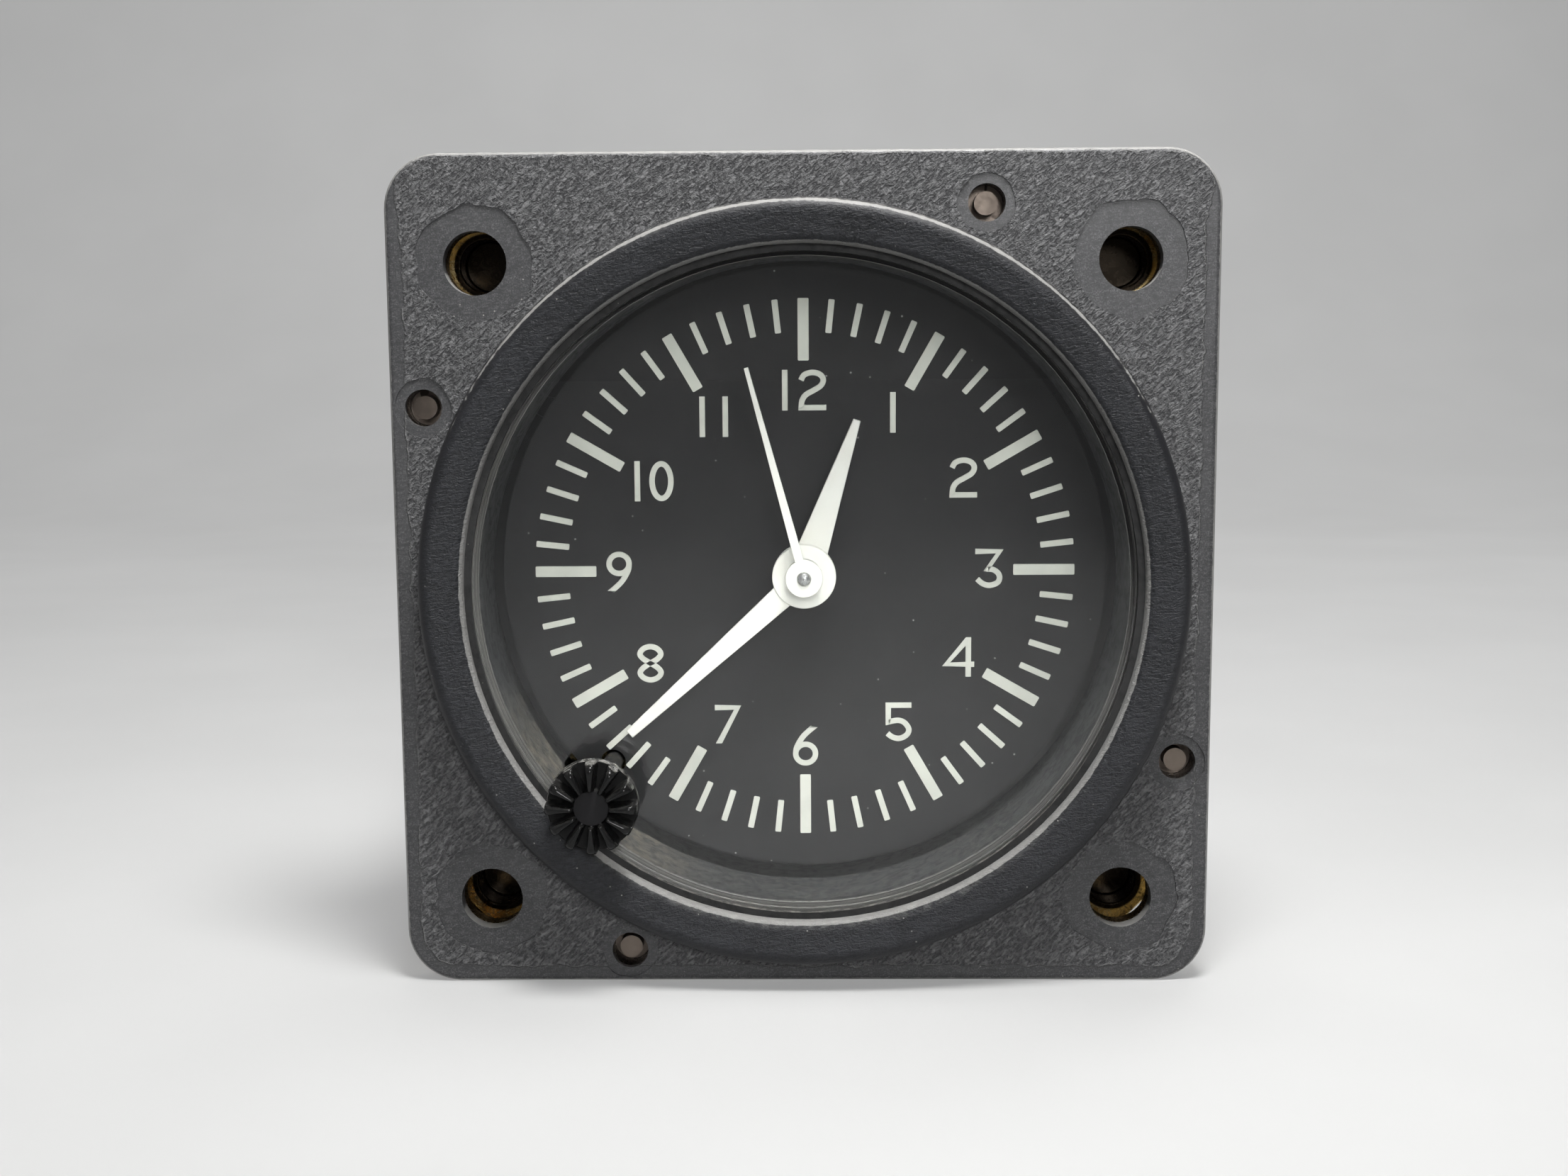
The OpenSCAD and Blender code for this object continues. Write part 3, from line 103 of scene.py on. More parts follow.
# %% [markdown]
# ## Short words for node trees
# A finish is a tree of nodes, and a tree written out node by node is long. These helpers keep it
# readable: each adds a node, feeds its sockets with links or plain numbers and gives back its result.
# A socket knows the tree that it belongs to, so the tree needn't be named every time.

# %% Nodes and arithmetic
def add(tree, kind, **settings):
    made = tree.nodes.new(kind)
    for key, value in settings.items():
        setattr(made, key, value)
    return made


def feed(socket, value):
    if isinstance(value, bpy.types.NodeSocket):
        socket.id_data.links.new(value, socket)
    else:
        socket.default_value = value


def fed_node(kind, values, **settings):
    tree = next(value.id_data for value in values if isinstance(value, bpy.types.NodeSocket))
    made = add(tree, kind, **settings)
    for socket, value in zip(made.inputs, values):
        feed(socket, value)
    return made.outputs


def calc(operation, *values):
    return fed_node("ShaderNodeMath", values, operation=operation)[0]


def plus(first, second):
    return calc("ADD", first, second)


def minus(first, second):
    return calc("SUBTRACT", first, second)


def times(first, second):
    return calc("MULTIPLY", first, second)


def over(first, second):
    return calc("DIVIDE", first, second)


def most(first, second):
    return calc("MAXIMUM", first, second)


def vector(operation, *values):
    return fed_node("ShaderNodeVectorMath", values, operation=operation)[0]


def xyz(where):
    return fed_node("ShaderNodeSeparateXYZ", [where])


def off_axis(x, z):
    return calc("SQRT", plus(times(x, x), times(z, z)))


# %% Steps, mixtures and patterns
def soft_step(value, low, high):
    return fed_node("ShaderNodeMapRange", (value, low, high), interpolation_type="SMOOTHSTEP")[0]


def band(value, middle, half):
    return soft_step(calc("ABSOLUTE", minus(value, middle)), half, 0.0)


def stretch(value, low, high):
    return fed_node("ShaderNodeMapRange", (value, 0.0, 1.0, low, high))[0]


def mix_colour(factor, first, second):
    made = add(factor.id_data, "ShaderNodeMix", data_type="RGBA")
    for place_in, value in ((0, factor), (6, first), (7, second)):
        feed(made.inputs[place_in], value)
    return made.outputs[2]


def noise(where, scale, detail=2.0, roughness=0.5, distortion=0.0):
    made = add(where.id_data, "ShaderNodeTexNoise")
    made.inputs["Detail"].default_value = detail
    made.inputs["Roughness"].default_value = roughness
    made.inputs["Distortion"].default_value = distortion
    feed(made.inputs["Vector"], where)
    feed(made.inputs["Scale"], scale)
    return made.outputs[0]


def distance_to(where, x, z):
    flat = vector("MULTIPLY", where, (1.0, 0.0, 1.0))
    return fed_node("ShaderNodeVectorMath", (flat, (x, 0.0, z)), operation="DISTANCE")["Value"]


# %% Groups
def shader_group(name, inputs, *outputs):
    tree = bpy.data.node_groups.new(name, "ShaderNodeTree")
    tree.interface.new_socket("Vector", in_out="INPUT", socket_type="NodeSocketVector")
    for label, value in inputs.items():
        socket = tree.interface.new_socket(label, in_out="INPUT", socket_type="NodeSocketFloat")
        socket.default_value = value
    for label in outputs:
        tree.interface.new_socket(label, in_out="OUTPUT", socket_type="NodeSocketFloat")
    given = add(tree, "NodeGroupInput").outputs
    return tree, given["Vector"], given, add(tree, "NodeGroupOutput").inputs


def place(group, where, **values):
    made = add(where.id_data, "ShaderNodeGroup", node_tree=group)
    feed(made.inputs["Vector"], where)
    for label, value in values.items():
        feed(made.inputs[label.replace("_", " ").capitalize()], value)
    return made.outputs


# %% [markdown]
# ## Effects that several finishes share
# Grain, dust and lathe marks turn up on many pieces, and wear and painted highlight along many edges, each
# time at another scale. Each is built once as a node group with named inputs and gives out plain values,
# and every material then places it with its own numbers. All of them read Object coordinates in
# millimetres, so a pattern has a real size and stays on its piece when the piece moves.

# %% Coordinates and grain
millimetres = bpy.data.node_groups.new("millimetres", "ShaderNodeTree")
millimetres.interface.new_socket("Vector", in_out="OUTPUT", socket_type="NodeSocketVector")
in_metres = add(millimetres, "ShaderNodeTexCoord").outputs["Object"]
feed(add(millimetres, "NodeGroupOutput").inputs["Vector"], vector("MULTIPLY", in_metres, [1 / MM] * 3))

handled, where, given, result = shader_group(
    "handled_surface", {"Grain": 6.0, "Patch": 0.3}, "Tone", "Grain", "Smear")
feed(result["Tone"], soft_step(noise(where, given["Patch"], 4.0, 0.6), 0.3, 0.7))
feed(result["Grain"], noise(where, given["Grain"], 3.0, 0.6))
feed(result["Smear"], soft_step(noise(where, times(given["Patch"], 2.7), 5.0, 0.7, 1.5), 0.42, 0.68))

# %% Dust that settles on faces that look up, with loose specks
def looks_up(tree, low, high):
    return soft_step(xyz(add(tree, "ShaderNodeNewGeometry").outputs["Normal"])["Z"], low, high)


dust, where, given, result = shader_group(
    "settled_dust", {"Settled": 0.4, "Specks": 0.3, "Size": 1.2}, "Mask")
drift = soft_step(noise(where, 1.7, 5.0, 0.7), 0.35, 0.75)
settled = times(times(looks_up(dust, 0.2, 0.95), drift), given["Settled"])
grains = add(dust, "ShaderNodeTexVoronoi")
feed(grains.inputs["Vector"], where)
feed(grains.inputs["Scale"], given["Size"])
dot = soft_step(grains.outputs["Distance"], 0.085, 0.03)
chance = soft_step(noise(where, 0.9, 1.0), 0.5, 0.62)
feed(result["Mask"], most(settled, times(times(dot, chance), given["Specks"])))

# %% Wear and painted highlight that break up along an edge, and the rings that a lathe leaves
worn_and_lit, where, given, result = shader_group("worn_and_lit_edge", {"Edge": 0.0, "Chips": 2.5}, "Mask")
chipped = minus(noise(where, given["Chips"], 5.0, 0.7), 0.5)
feed(result["Mask"], soft_step(plus(given["Edge"], times(chipped, 0.9)), 0.42, 0.62))

turned, where, given, result = shader_group("turned_rings", {"Pitch": 0.1}, "Height", "Streak")
apart = xyz(where)
rings = add(turned, "ShaderNodeTexNoise", noise_dimensions="1D")
feed(rings.inputs["W"], over(off_axis(apart["X"], apart["Z"]), given["Pitch"]))
feed(result["Height"], rings.outputs[0])
feed(result["Streak"], soft_step(rings.outputs[0], 0.4, 0.65))
print("shared effects:", [group.name for group in bpy.data.node_groups])

# %% [markdown]
# ## A material with its Principled shader
# Every finish starts with a Principled shader and the millimetre coordinates, and most end in a Bump node.
# Values that are the same all over the piece are set on the shader's own sockets. Each finish is kept
# under its name, which for most of them is the record's slot that they are for.

# %% Start a material
finishes = {}


def new_material(name, **values):
    finishes[name] = bpy.data.materials.new(name)
    finishes[name].use_nodes = True
    tree = finishes[name].node_tree
    inputs = tree.nodes["Principled BSDF"].inputs
    for label, value in values.items():
        inputs[label.replace("_", " ")].default_value = value
    return inputs, add(tree, "ShaderNodeGroup", node_tree=millimetres).outputs["Vector"]


def relief(inputs, height, depth_mm, strength=1.0):
    bump = add(height.id_data, "ShaderNodeBump")
    bump.inputs["Strength"].default_value = strength
    bump.inputs["Distance"].default_value = depth_mm * MM
    feed(bump.inputs["Height"], height)
    feed(inputs["Normal"], bump.outputs[0])


def grey(level):
    return (level, level, level, 1.0)


def tell(*names):
    for name in names:
        print(name, "has", len(finishes[name].node_tree.nodes), "nodes")


# %% [markdown]
# ## The flange and ring paint
# The casting wears a thick black paint that dried to a skin of short slanted strokes, whose raised tops are
# painted lighter and hollows darker as painted sheen and shade. Along the edges and on the recessed spots
# round the holes the skin is smooth, and a thin broken crease marks where it starts.
# The ring is finer and darker. An unwrapped and painted map could show this, but the paint follows simple
# rules, so the masks are worked out from the coordinates: distance to the edge, to the holes and to the
# axis, and depth behind the front face for the spots.

# %% Distance from the edge of a plate with round corners
plate_edge, where, given, result = shader_group(
    "plate_edge", {"Half width": 1.0, "Half height": 1.0, "Centre": 0.0, "Corner": 0.1}, "Distance")
apart = xyz(where)
beyond = []
for value, half in ((apart["X"], "Half width"), (minus(apart["Z"], given["Centre"]), "Half height")):
    beyond.append(minus(calc("ABSOLUTE", value), minus(given[half], given["Corner"])))
corner = off_axis(*[most(value, 0.0) for value in beyond])
inside = calc("MINIMUM", most(*beyond), 0.0)
feed(result["Distance"], times(minus(plus(corner, inside), given["Corner"]), -1.0))

# %% Strokes of the dried paint
strokes, where, given, result = shader_group("paint_strokes", {"Slant": 0.8, "Size": 1.0}, "Height")
slanted = add(strokes, "ShaderNodeVectorRotate", rotation_type="Y_AXIS")
feed(slanted.inputs["Vector"], where)
feed(slanted.inputs["Angle"], given["Slant"])
long_marks = noise(vector("MULTIPLY", slanted.outputs[0], (1.5, 2.0, 4.2)), given["Size"], 3.0, 0.6, 0.9)
short_marks = noise(where, times(given["Size"], 4.6), 3.0, 0.6, 0.6)
feed(result["Height"], soft_step(plus(times(long_marks, 0.65), times(short_marks, 0.35)), 0.36, 0.66))


# %% Lighter edges: rubbed flange corners, a pale inner lip, painted highlight on upper hole rims and ring edge
def from_holes(where):
    return distance_to(vector("ABSOLUTE", where), HOLE_AT, HOLE_AT)


def rubbed_and_lit_edges(where, depth, edge, from_axis, on_ring):
    # painted highlight: the hole rims and the ring's outer edge are lighter only where their surface looks up
    lit_upper_side = looks_up(where.id_data, 0.05, 0.6)
    at_corner = plus(soft_step(depth, 0.5, 0.15), soft_step(depth, FLANGE_T - 0.3, FLANGE_T))
    outline = times(soft_step(edge, 0.4, 0.0), at_corner)
    rim_highlight = times(band(from_holes(where), HOLE_R, 0.16), lit_upper_side)
    lip = times(band(from_axis, LIP_R + 0.05, 0.3), on_ring)
    ring_edge_highlight = times(times(band(from_axis, RING_R - 0.25, 0.3), times(on_ring, 0.75)), lit_upper_side)
    outline = most(most(outline, ring_edge_highlight), most(rim_highlight, lip))
    return place(worn_and_lit, where, edge=outline, chips=1.6)["Mask"]


# %% Textured black paint
def textured_black_paint():
    inputs, where = new_material("textured_black_paint", Specular_IOR_Level=0.3)
    apart = xyz(where)
    edge = place(plate_edge, where, half_width=FLANGE_HALF_W, half_height=FLANGE_HALF_H,
                 centre=FLANGE_LIFT, corner=FLANGE_CORNER)["Distance"]
    wander = minus(noise(where, 0.6, 5.0, 0.65), 0.5)
    margin = stretch(soft_step(apart["Z"], 26.0, 30.0), 1.2, 0.3)
    inner = minus(plus(edge, wander), margin)
    crease = times(band(inner, 0.0, 0.1), soft_step(noise(where, 0.5, 3.0), 0.45, 0.6))
    skin = times(soft_step(inner, -0.06, 0.1), soft_step(apart["Y"], 0.09, 0.03))
    on_ring = soft_step(apart["Y"], -0.25, -0.6)
    from_axis = distance_to(where, 0.0, 0.0)
    face = soft_step(from_axis, RING_R - 0.2, RING_R - 1.0)
    marks = place(strokes, where, slant=0.75, size=1.0)["Height"]
    ring_marks = place(strokes, where, slant=0.15, size=1.15)["Height"]
    fine = noise(where, 9.0, 3.0, 0.6)
    chosen = add(where.id_data, "ShaderNodeMix")
    feed(chosen.inputs[0], on_ring)
    feed(chosen.inputs[2], plus(times(marks, skin), times(crease, 0.8)))
    feed(chosen.inputs[3], times(ring_marks, times(face, 0.4)))
    relief(inputs, plus(chosen.outputs[0], times(fine, 0.12)), 0.13)
    surface = place(handled, where, grain=8.0, patch=0.09)
    scuffs = times(ring_marks, soft_step(fine, 0.35, 0.7))
    paint = mix_colour(surface["Tone"], (0.04, 0.04, 0.042, 1), (0.06, 0.06, 0.062, 1))
    paint = mix_colour(scuffs, paint, (0.15, 0.15, 0.152, 1))
    # painted sheen and shade: the raised tops of the strokes are painted lighter, their hollows darker
    painted_sheen_strokes = mix_colour(marks, (0.032, 0.032, 0.034, 1), (0.225, 0.225, 0.227, 1))
    paint = mix_colour(times(skin, 0.85), paint, painted_sheen_strokes)
    # painted sheen and shade: the ring's raised marks are painted lighter, their hollows darker
    ring_paint = mix_colour(ring_marks, (0.007, 0.0075, 0.009, 1), (0.022, 0.023, 0.027, 1))
    ring_paint = mix_colour(times(surface["Smear"], 0.3), ring_paint, (0.035, 0.037, 0.042, 1))
    ring_paint = mix_colour(face, (0.012, 0.012, 0.014, 1), ring_paint)
    paint = mix_colour(on_ring, paint, ring_paint)
    edge_wear_and_highlight = rubbed_and_lit_edges(where, apart["Y"], edge, from_axis, on_ring)
    # rubbed paint at the corners and lip, painted highlight on the upward hole rims and the top of the ring
    # edge
    paint = mix_colour(times(edge_wear_and_highlight, 0.7), paint, (0.36, 0.355, 0.34, 1))
    paint = mix_colour(times(crease, 0.6), paint, (0.24, 0.24, 0.235, 1))
    dusty = place(dust, where, settled=0.3, specks=0.8, size=1.1)["Mask"]
    feed(inputs["Base Color"], mix_colour(dusty, paint, (0.42, 0.41, 0.38, 1)))
    rough = plus(stretch(surface["Smear"], 0.34, 0.44), times(on_ring, 0.08))
    feed(inputs["Roughness"], plus(rough, times(dusty, 0.3)))


textured_black_paint()
tell("textured_black_paint")

# %% [markdown]
# ## Glass
# The window is a flat pane two millimetres thick. A Principled shader with full transmission bends and
# reflects the light as the pane does. A bloomed pane mirrors about half as much as plain glass, so its
# index of refraction is set lower. Shadow rays pass through a Transparent shader instead, so the dial
# behind is lit without slow caustics.

# %% Clear glass
def clear_glass():
    inputs, where = new_material(
        "clear_glass", Transmission_Weight=1.0, IOR=1.38, Base_Color=(0.97, 0.985, 0.98, 1))
    film = place(handled, where, grain=4.0, patch=0.12)["Smear"]
    feed(inputs["Roughness"], times(film, 0.02))
    tree = where.id_data
    choose = add(tree, "ShaderNodeMixShader")
    feed(choose.inputs[0], add(tree, "ShaderNodeLightPath").outputs["Is Shadow Ray"])
    feed(choose.inputs[1], tree.nodes["Principled BSDF"].outputs[0])
    feed(choose.inputs[2], add(tree, "ShaderNodeBsdfTransparent").outputs[0])
    feed(tree.nodes["Material Output"].inputs["Surface"], choose.outputs[0])


clear_glass()
tell("clear_glass")

# %% [markdown]
# ## Dial, marks and hands
# The dial is a matt, nearly black plate with a print of off-white paint, and the hands are enamelled a
# brighter white. One flat white would do from afar, but brushed paint is a little thicker in places, so
# its tone and its roughness drift slightly.

# %% Dial, print and enamel
def dial_black():
    inputs, where = new_material("dial_black", Specular_IOR_Level=0.2)
    surface = place(handled, where, grain=11.0, patch=0.08)
    specks = place(dust, where, settled=0.0, specks=0.7, size=0.75)["Mask"]
    paint = mix_colour(surface["Tone"], (0.016, 0.016, 0.0165, 1), (0.024, 0.024, 0.0245, 1))
    feed(inputs["Base Color"], mix_colour(specks, paint, (0.5, 0.5, 0.47, 1)))
    feed(inputs["Roughness"], stretch(surface["Grain"], 0.7, 0.9))
    relief(inputs, surface["Tone"], 0.003, 0.3)


def white_paint(name, thick, thin, rough, depth):
    inputs, where = new_material(name)
    surface = place(handled, where, grain=7.0, patch=0.45)
    paint = mix_colour(surface["Tone"], thick, thin)
    dusty = place(dust, where, settled=0.1, specks=0.35, size=2.0)["Mask"]
    feed(inputs["Base Color"], mix_colour(dusty, paint, (0.45, 0.43, 0.38, 1)))
    feed(inputs["Roughness"], stretch(surface["Grain"], rough, rough + 0.2))
    relief(inputs, surface["Grain"], depth, 0.5)


dial_black()
white_paint("mark_white", (0.73, 0.74, 0.66, 1), (0.65, 0.66, 0.59, 1), 0.5, 0.02)
white_paint("hand_white", (0.86, 0.86, 0.8, 1), (0.82, 0.81, 0.74, 1), 0.35, 0.006)
tell("dial_black", "mark_white", "hand_white")

# %% [markdown]
# ## Plain moulded, plated and turned finishes
# Rubber, plastic, steel, board and wire differ in colour, gloss and grain and not in kind, so one function
# makes them from those values, and a second one adds the fine rings of turned metal.

# %% Two functions for the plainer finishes
def plain_finish(name, deep, light, rough, metal=0.0, settled=0.05, grain=8.0):
    inputs, where = new_material(name, Metallic=metal)
    surface = place(handled, where, grain=grain, patch=0.25)
    dusty = place(dust, where, settled=settled, specks=settled, size=1.6)["Mask"]
    colour = mix_colour(surface["Tone"], deep, light)
    feed(inputs["Base Color"], mix_colour(dusty, colour, (0.4, 0.38, 0.34, 1)))
    feed(inputs["Roughness"], plus(stretch(surface["Smear"], *rough), times(dusty, 0.3)))
    relief(inputs, surface["Grain"], 0.01, 0.6)


def turned_metal(name, deep, light, rough):
    inputs, where = new_material(name, Metallic=1.0)
    surface = place(handled, where, grain=14.0, patch=0.3)
    rings = place(turned, where, pitch=0.12)
    dusty = place(dust, where, settled=0.1, specks=0.1, size=1.8)["Mask"]
    colour = mix_colour(surface["Tone"], deep, light)
    feed(inputs["Base Color"], mix_colour(dusty, colour, (0.35, 0.33, 0.3, 1)))
    feed(inputs["Roughness"], plus(stretch(surface["Smear"], *rough), times(rings["Streak"], 0.06)))
    relief(inputs, plus(rings["Height"], times(surface["Grain"], 0.4)), 0.008, 0.5)


# %% The plainer finishes, each with a deep and a light tone and its range of roughness
plain_finish("black_rubber", grey(0.008), grey(0.016), (0.7, 0.9), settled=0.5, grain=12.0)
plain_finish("soft_iron", grey(0.33), grey(0.45), (0.4, 0.55), metal=1.0)
plain_finish("magnet_steel", grey(0.24), grey(0.34), (0.3, 0.45), metal=1.0)
plain_finish("blackened_steel", grey(0.014), grey(0.022), (0.6, 0.8), settled=0.0)
plain_finish("chip_black", grey(0.02), grey(0.03), (0.5, 0.7))
plain_finish("pale_plastic", (0.72, 0.7, 0.62, 1), (0.8, 0.78, 0.7, 1), (0.45, 0.6))
plain_finish("board_green", (0.03, 0.17, 0.08, 1), (0.05, 0.25, 0.12, 1), (0.3, 0.45))
plain_finish("capacitor_sleeve", (0.08, 0.11, 0.26, 1), (0.1, 0.14, 0.32, 1), (0.25, 0.4))
plain_finish("connector_plastic", (0.035, 0.05, 0.13, 1), (0.05, 0.07, 0.17, 1), (0.45, 0.6), settled=0.2)
plain_finish("copper_wire", (0.55, 0.24, 0.1, 1), (0.72, 0.38, 0.2, 1), (0.25, 0.4), 1.0, 0.0)
plain_finish("spring_bronze", (0.5, 0.3, 0.14, 1), (0.65, 0.44, 0.23, 1), (0.28, 0.42), 1.0, 0.0)
turned_metal("browned_steel", (0.085, 0.07, 0.06, 1), (0.15, 0.125, 0.105, 1), (0.35, 0.5))
turned_metal("bright_steel", grey(0.5), grey(0.66), (0.22, 0.38))
turned_metal("gold_plate", (0.72, 0.5, 0.16, 1), (0.86, 0.64, 0.26, 1), (0.2, 0.32))
tell("black_rubber", "bright_steel")

# %% [markdown]
# ## Metal that changes over the piece
# The reflector is dark, with brown dust near the knob, but its front face is bare metal with turned lines.
# The plates of the movement are brass, painted black at the rim and near the knob as painted shade where
# they show past the dial. The brass in the holes of the flange has patches of old grease and is painted
# dark further in as painted shade. Separate pieces could carry these finishes, but each is one piece of
# metal, so a mask of depth and radius changes the finish.

# %% Reflector, plates and greased brass with painted shade
REFLECTOR_FRONT = span("reflector_ring")[0][1]


def dark_anodised():
    inputs, where = new_material("dark_anodised", Specular_IOR_Level=0.3)
    bare = soft_step(xyz(where)["Y"], REFLECTOR_FRONT + 0.35, REFLECTOR_FRONT + 0.15)
    surface = place(handled, where, grain=10.0, patch=0.25)
    rings = place(turned, where, pitch=0.11)
    dusty = place(dust, where, settled=0.12, specks=0.6, size=1.4)["Mask"]
    dark = mix_colour(surface["Tone"], (0.011, 0.012, 0.0135, 1), (0.02, 0.021, 0.023, 1))
    by_knob = soft_step(distance_to(where, *KNOB_AT), 12.0, 3.5)
    swept = soft_step(noise(where, 0.9, 5.0, 0.7), 0.35, 0.7)
    dark = mix_colour(times(times(by_knob, swept), 0.55), dark, (0.25, 0.22, 0.165, 1))
    metal = mix_colour(rings["Streak"], (0.07, 0.07, 0.068, 1), (0.45, 0.44, 0.42, 1))
    colour = mix_colour(bare, dark, metal)
    feed(inputs["Base Color"], mix_colour(dusty, colour, (0.4, 0.38, 0.33, 1)))
    feed(inputs["Metallic"], times(bare, 0.7))
    feed(inputs["Roughness"], stretch(surface["Smear"], 0.38, 0.55))
    relief(inputs, rings["Height"], 0.02, 0.6)


def plate_brass():
    inputs, where = new_material("plate_brass")
    by_knob = soft_step(distance_to(where, *KNOB_AT), 5.0, 4.0)
    # painted shade: the rim and the part near the knob are painted black where they show past the dial
    black = most(soft_step(distance_to(where, 0.0, 0.0), 20.0, 21.0), by_knob)
    surface = place(handled, where, grain=12.0, patch=0.25)
    brass = mix_colour(surface["Tone"], (0.56, 0.42, 0.19, 1), (0.7, 0.55, 0.28, 1))
    feed(inputs["Base Color"], mix_colour(black, brass, (0.012, 0.012, 0.012, 1)))
    feed(inputs["Metallic"], minus(1.0, black))
    feed(inputs["Roughness"], plus(stretch(surface["Smear"], 0.28, 0.45), times(black, 0.3)))
    relief(inputs, surface["Grain"], 0.006, 0.5)


def greased_and_shaded_brass(name, clean, black, only_in_holes):
    inputs, where = new_material(name, Metallic=1.0)
    surface = place(handled, where, grain=9.0, patch=0.55)
    brass = mix_colour(surface["Tone"], (0.45, 0.32, 0.13, 1), (0.74, 0.6, 0.32, 1))
    # painted shade: the brass is painted black with depth, further into the hole
    sunk = soft_step(xyz(where)["Y"], clean, black)
    if only_in_holes:
        sunk = times(sunk, soft_step(from_holes(where), HOLE_R + 0.2, HOLE_R))
    grease_and_shade = most(times(surface["Smear"], 0.85), sunk)
    feed(inputs["Base Color"], mix_colour(grease_and_shade, brass, (0.01, 0.008, 0.006, 1)))
    feed(inputs["Roughness"], stretch(surface["Smear"], 0.2, 0.4))
    relief(inputs, surface["Grain"], 0.01, 0.5)


dark_anodised()
plate_brass()
greased_and_shaded_brass("bright_brass", 2.8, 4.8, True)
greased_and_shaded_brass("insert_brass", 0.25, 0.7, False)
tell("dark_anodised", "plate_brass", "bright_brass", "insert_brass")

# %% [markdown]
# ## Case and knob
# The case is satin black outside, and inside it is painted near-black and dull as painted shade.
# The knob is gloss black, dull in its grooves and hollow, with its grooves painted darker as painted shade,
# and grey with dust on its upper side, laid on thick there as a painted highlight too.
# Faces could be given different materials, but masks need no cutting of the mesh.

# %% Satin paint and gloss plastic
CASE_INSIDE_R = span("front_plate")[1][0]


def case_paint():
    inputs, where = new_material("satin_black_paint")
    # painted shade: the inner wall of the case is painted near-black
    inside = soft_step(distance_to(where, 0.0, 0.0), CASE_INSIDE_R + 0.4, CASE_INSIDE_R + 0.1)
    inside = times(inside, soft_step(xyz(where)["Y"], 40.0, 38.0))
    surface = place(handled, where, grain=5.0, patch=0.25)
    dusty = place(dust, where, settled=0.07, specks=0.2, size=1.6)["Mask"]
    paint = mix_colour(surface["Tone"], grey(0.022), grey(0.034))
    paint = mix_colour(dusty, paint, (0.4, 0.38, 0.34, 1))
    feed(inputs["Base Color"], mix_colour(inside, paint, grey(0.004)))
    feed(inputs["Roughness"], plus(stretch(surface["Smear"], 0.34, 0.5), times(inside, 0.4)))
    relief(inputs, surface["Grain"], 0.02, 0.6)


def knob_plastic():
    inputs, where = new_material("gloss_black_plastic", Specular_IOR_Level=0.2)
    from_knob = distance_to(where, *KNOB_AT)
    groove = times(soft_step(xyz(where)["Y"], KNOB_LOW[1] + 0.3, KNOB_LOW[1] + 0.75),
                   soft_step(from_knob, KNOB_R - 0.06, KNOB_R - 0.2))
    hollow = soft_step(from_knob, 1.3, 1.24)
    side = soft_step(from_knob, KNOB_R - 0.1, KNOB_R - 0.03)
    surface = place(handled, where, grain=9.0, patch=0.6)
    settled = place(dust, where, settled=0.9, specks=0.3, size=2.0)["Mask"]
    # dust on the upper side, laid thick there as a painted highlight of its lit side
    dust_and_highlight = times(settled, stretch(side, 0.08, 0.8))
    colour = mix_colour(surface["Tone"], grey(0.005), grey(0.009))
    # painted shade: the grooves are painted darker
    colour = mix_colour(groove, colour, grey(0.002))
    colour = mix_colour(hollow, colour, (0.011, 0.0105, 0.0115, 1))
    feed(inputs["Base Color"], mix_colour(dust_and_highlight, colour, (0.4, 0.39, 0.36, 1)))
    dull = plus(times(most(groove, hollow), 0.5), times(dust_and_highlight, 0.4))
    feed(inputs["Roughness"], plus(stretch(surface["Smear"], 0.1, 0.2), dull))
    relief(inputs, surface["Grain"], 0.003, 0.5)


case_paint()
knob_plastic()
tell("satin_black_paint", "gloss_black_plastic")

# %% [markdown]
# ## Every node gets the finish of its slot
# The finishes could be set piece by piece, but the record already names a slot for each node. Parts near
# the dial's edge and the knob's hole that would shine there get a black finish instead, as painted shade.

# %% Put the finishes on the nodes
for name, made in nodes.items():
    made.data.materials.clear()
    made.data.materials.append(finishes[slot_of[name]])
# painted shade: these parts get a black finish so that they stay dark behind the dial
for name in ("plate_screws", "setting_yoke", "guide_pin"):
    nodes[name].data.materials[0] = finishes["blackened_steel"]
print(len(finishes), "finishes on", len(nodes), "nodes")

# %% [markdown]
# ## Smooth skins over the solids
# A loaded node is a heap of loose triangles with no shared points. It could be shaded as it is, but a
# machined edge never shows as a knife edge: light catches a small round along it. So each piece that
# shows gets a skin, a copy with its points merged, its flat faces joined, its sharp edges bevelled by at
# most 0.15 mm and its normals weighted by face size.

# %% Make and dress a piece
def keep_mesh(made):
    bpy.context.view_layer.update()
    final = bpy.data.meshes.new_from_object(made.evaluated_get(bpy.context.evaluated_depsgraph_get()))
    made.modifiers.clear()
    made.data = final
    return made


def new_piece(name, work):
    mesh = bpy.data.meshes.new(name)
    work.to_mesh(mesh)
    work.free()
    made = bpy.data.objects.new(name, mesh)
    bpy.context.scene.collection.objects.link(made)
    return made


def join_rows(work, rows, closed=False):
    for low, high in zip(rows, rows[1:]):
        for k in range(len(low) if closed else len(low) - 1):
            n = (k + 1) % len(low)
            work.faces.new((low[k], low[n], high[n], high[k]))


def dress(made, node, finish=None):
    made.data.materials.clear()
    made.data.materials.append(finishes[finish or slot_of[node]])
    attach(made, body_of[node])
    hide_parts(node)
    return made


# %% Merge, round and shade a skin
SHARP = math.radians(32.0)
SAME_POINT = 0.0005 * MM
SAME_PLANE = math.radians(0.2)


def merged(node):
    work = bmesh.new()
    work.from_mesh(nodes[node].data)
    bmesh.ops.remove_doubles(work, verts=work.verts, dist=SAME_POINT)
    bmesh.ops.dissolve_limit(work, angle_limit=SAME_PLANE, verts=work.verts, edges=work.edges)
    return work


def shade_smooth(made):
    for face in made.data.polygons:
        face.use_smooth = True


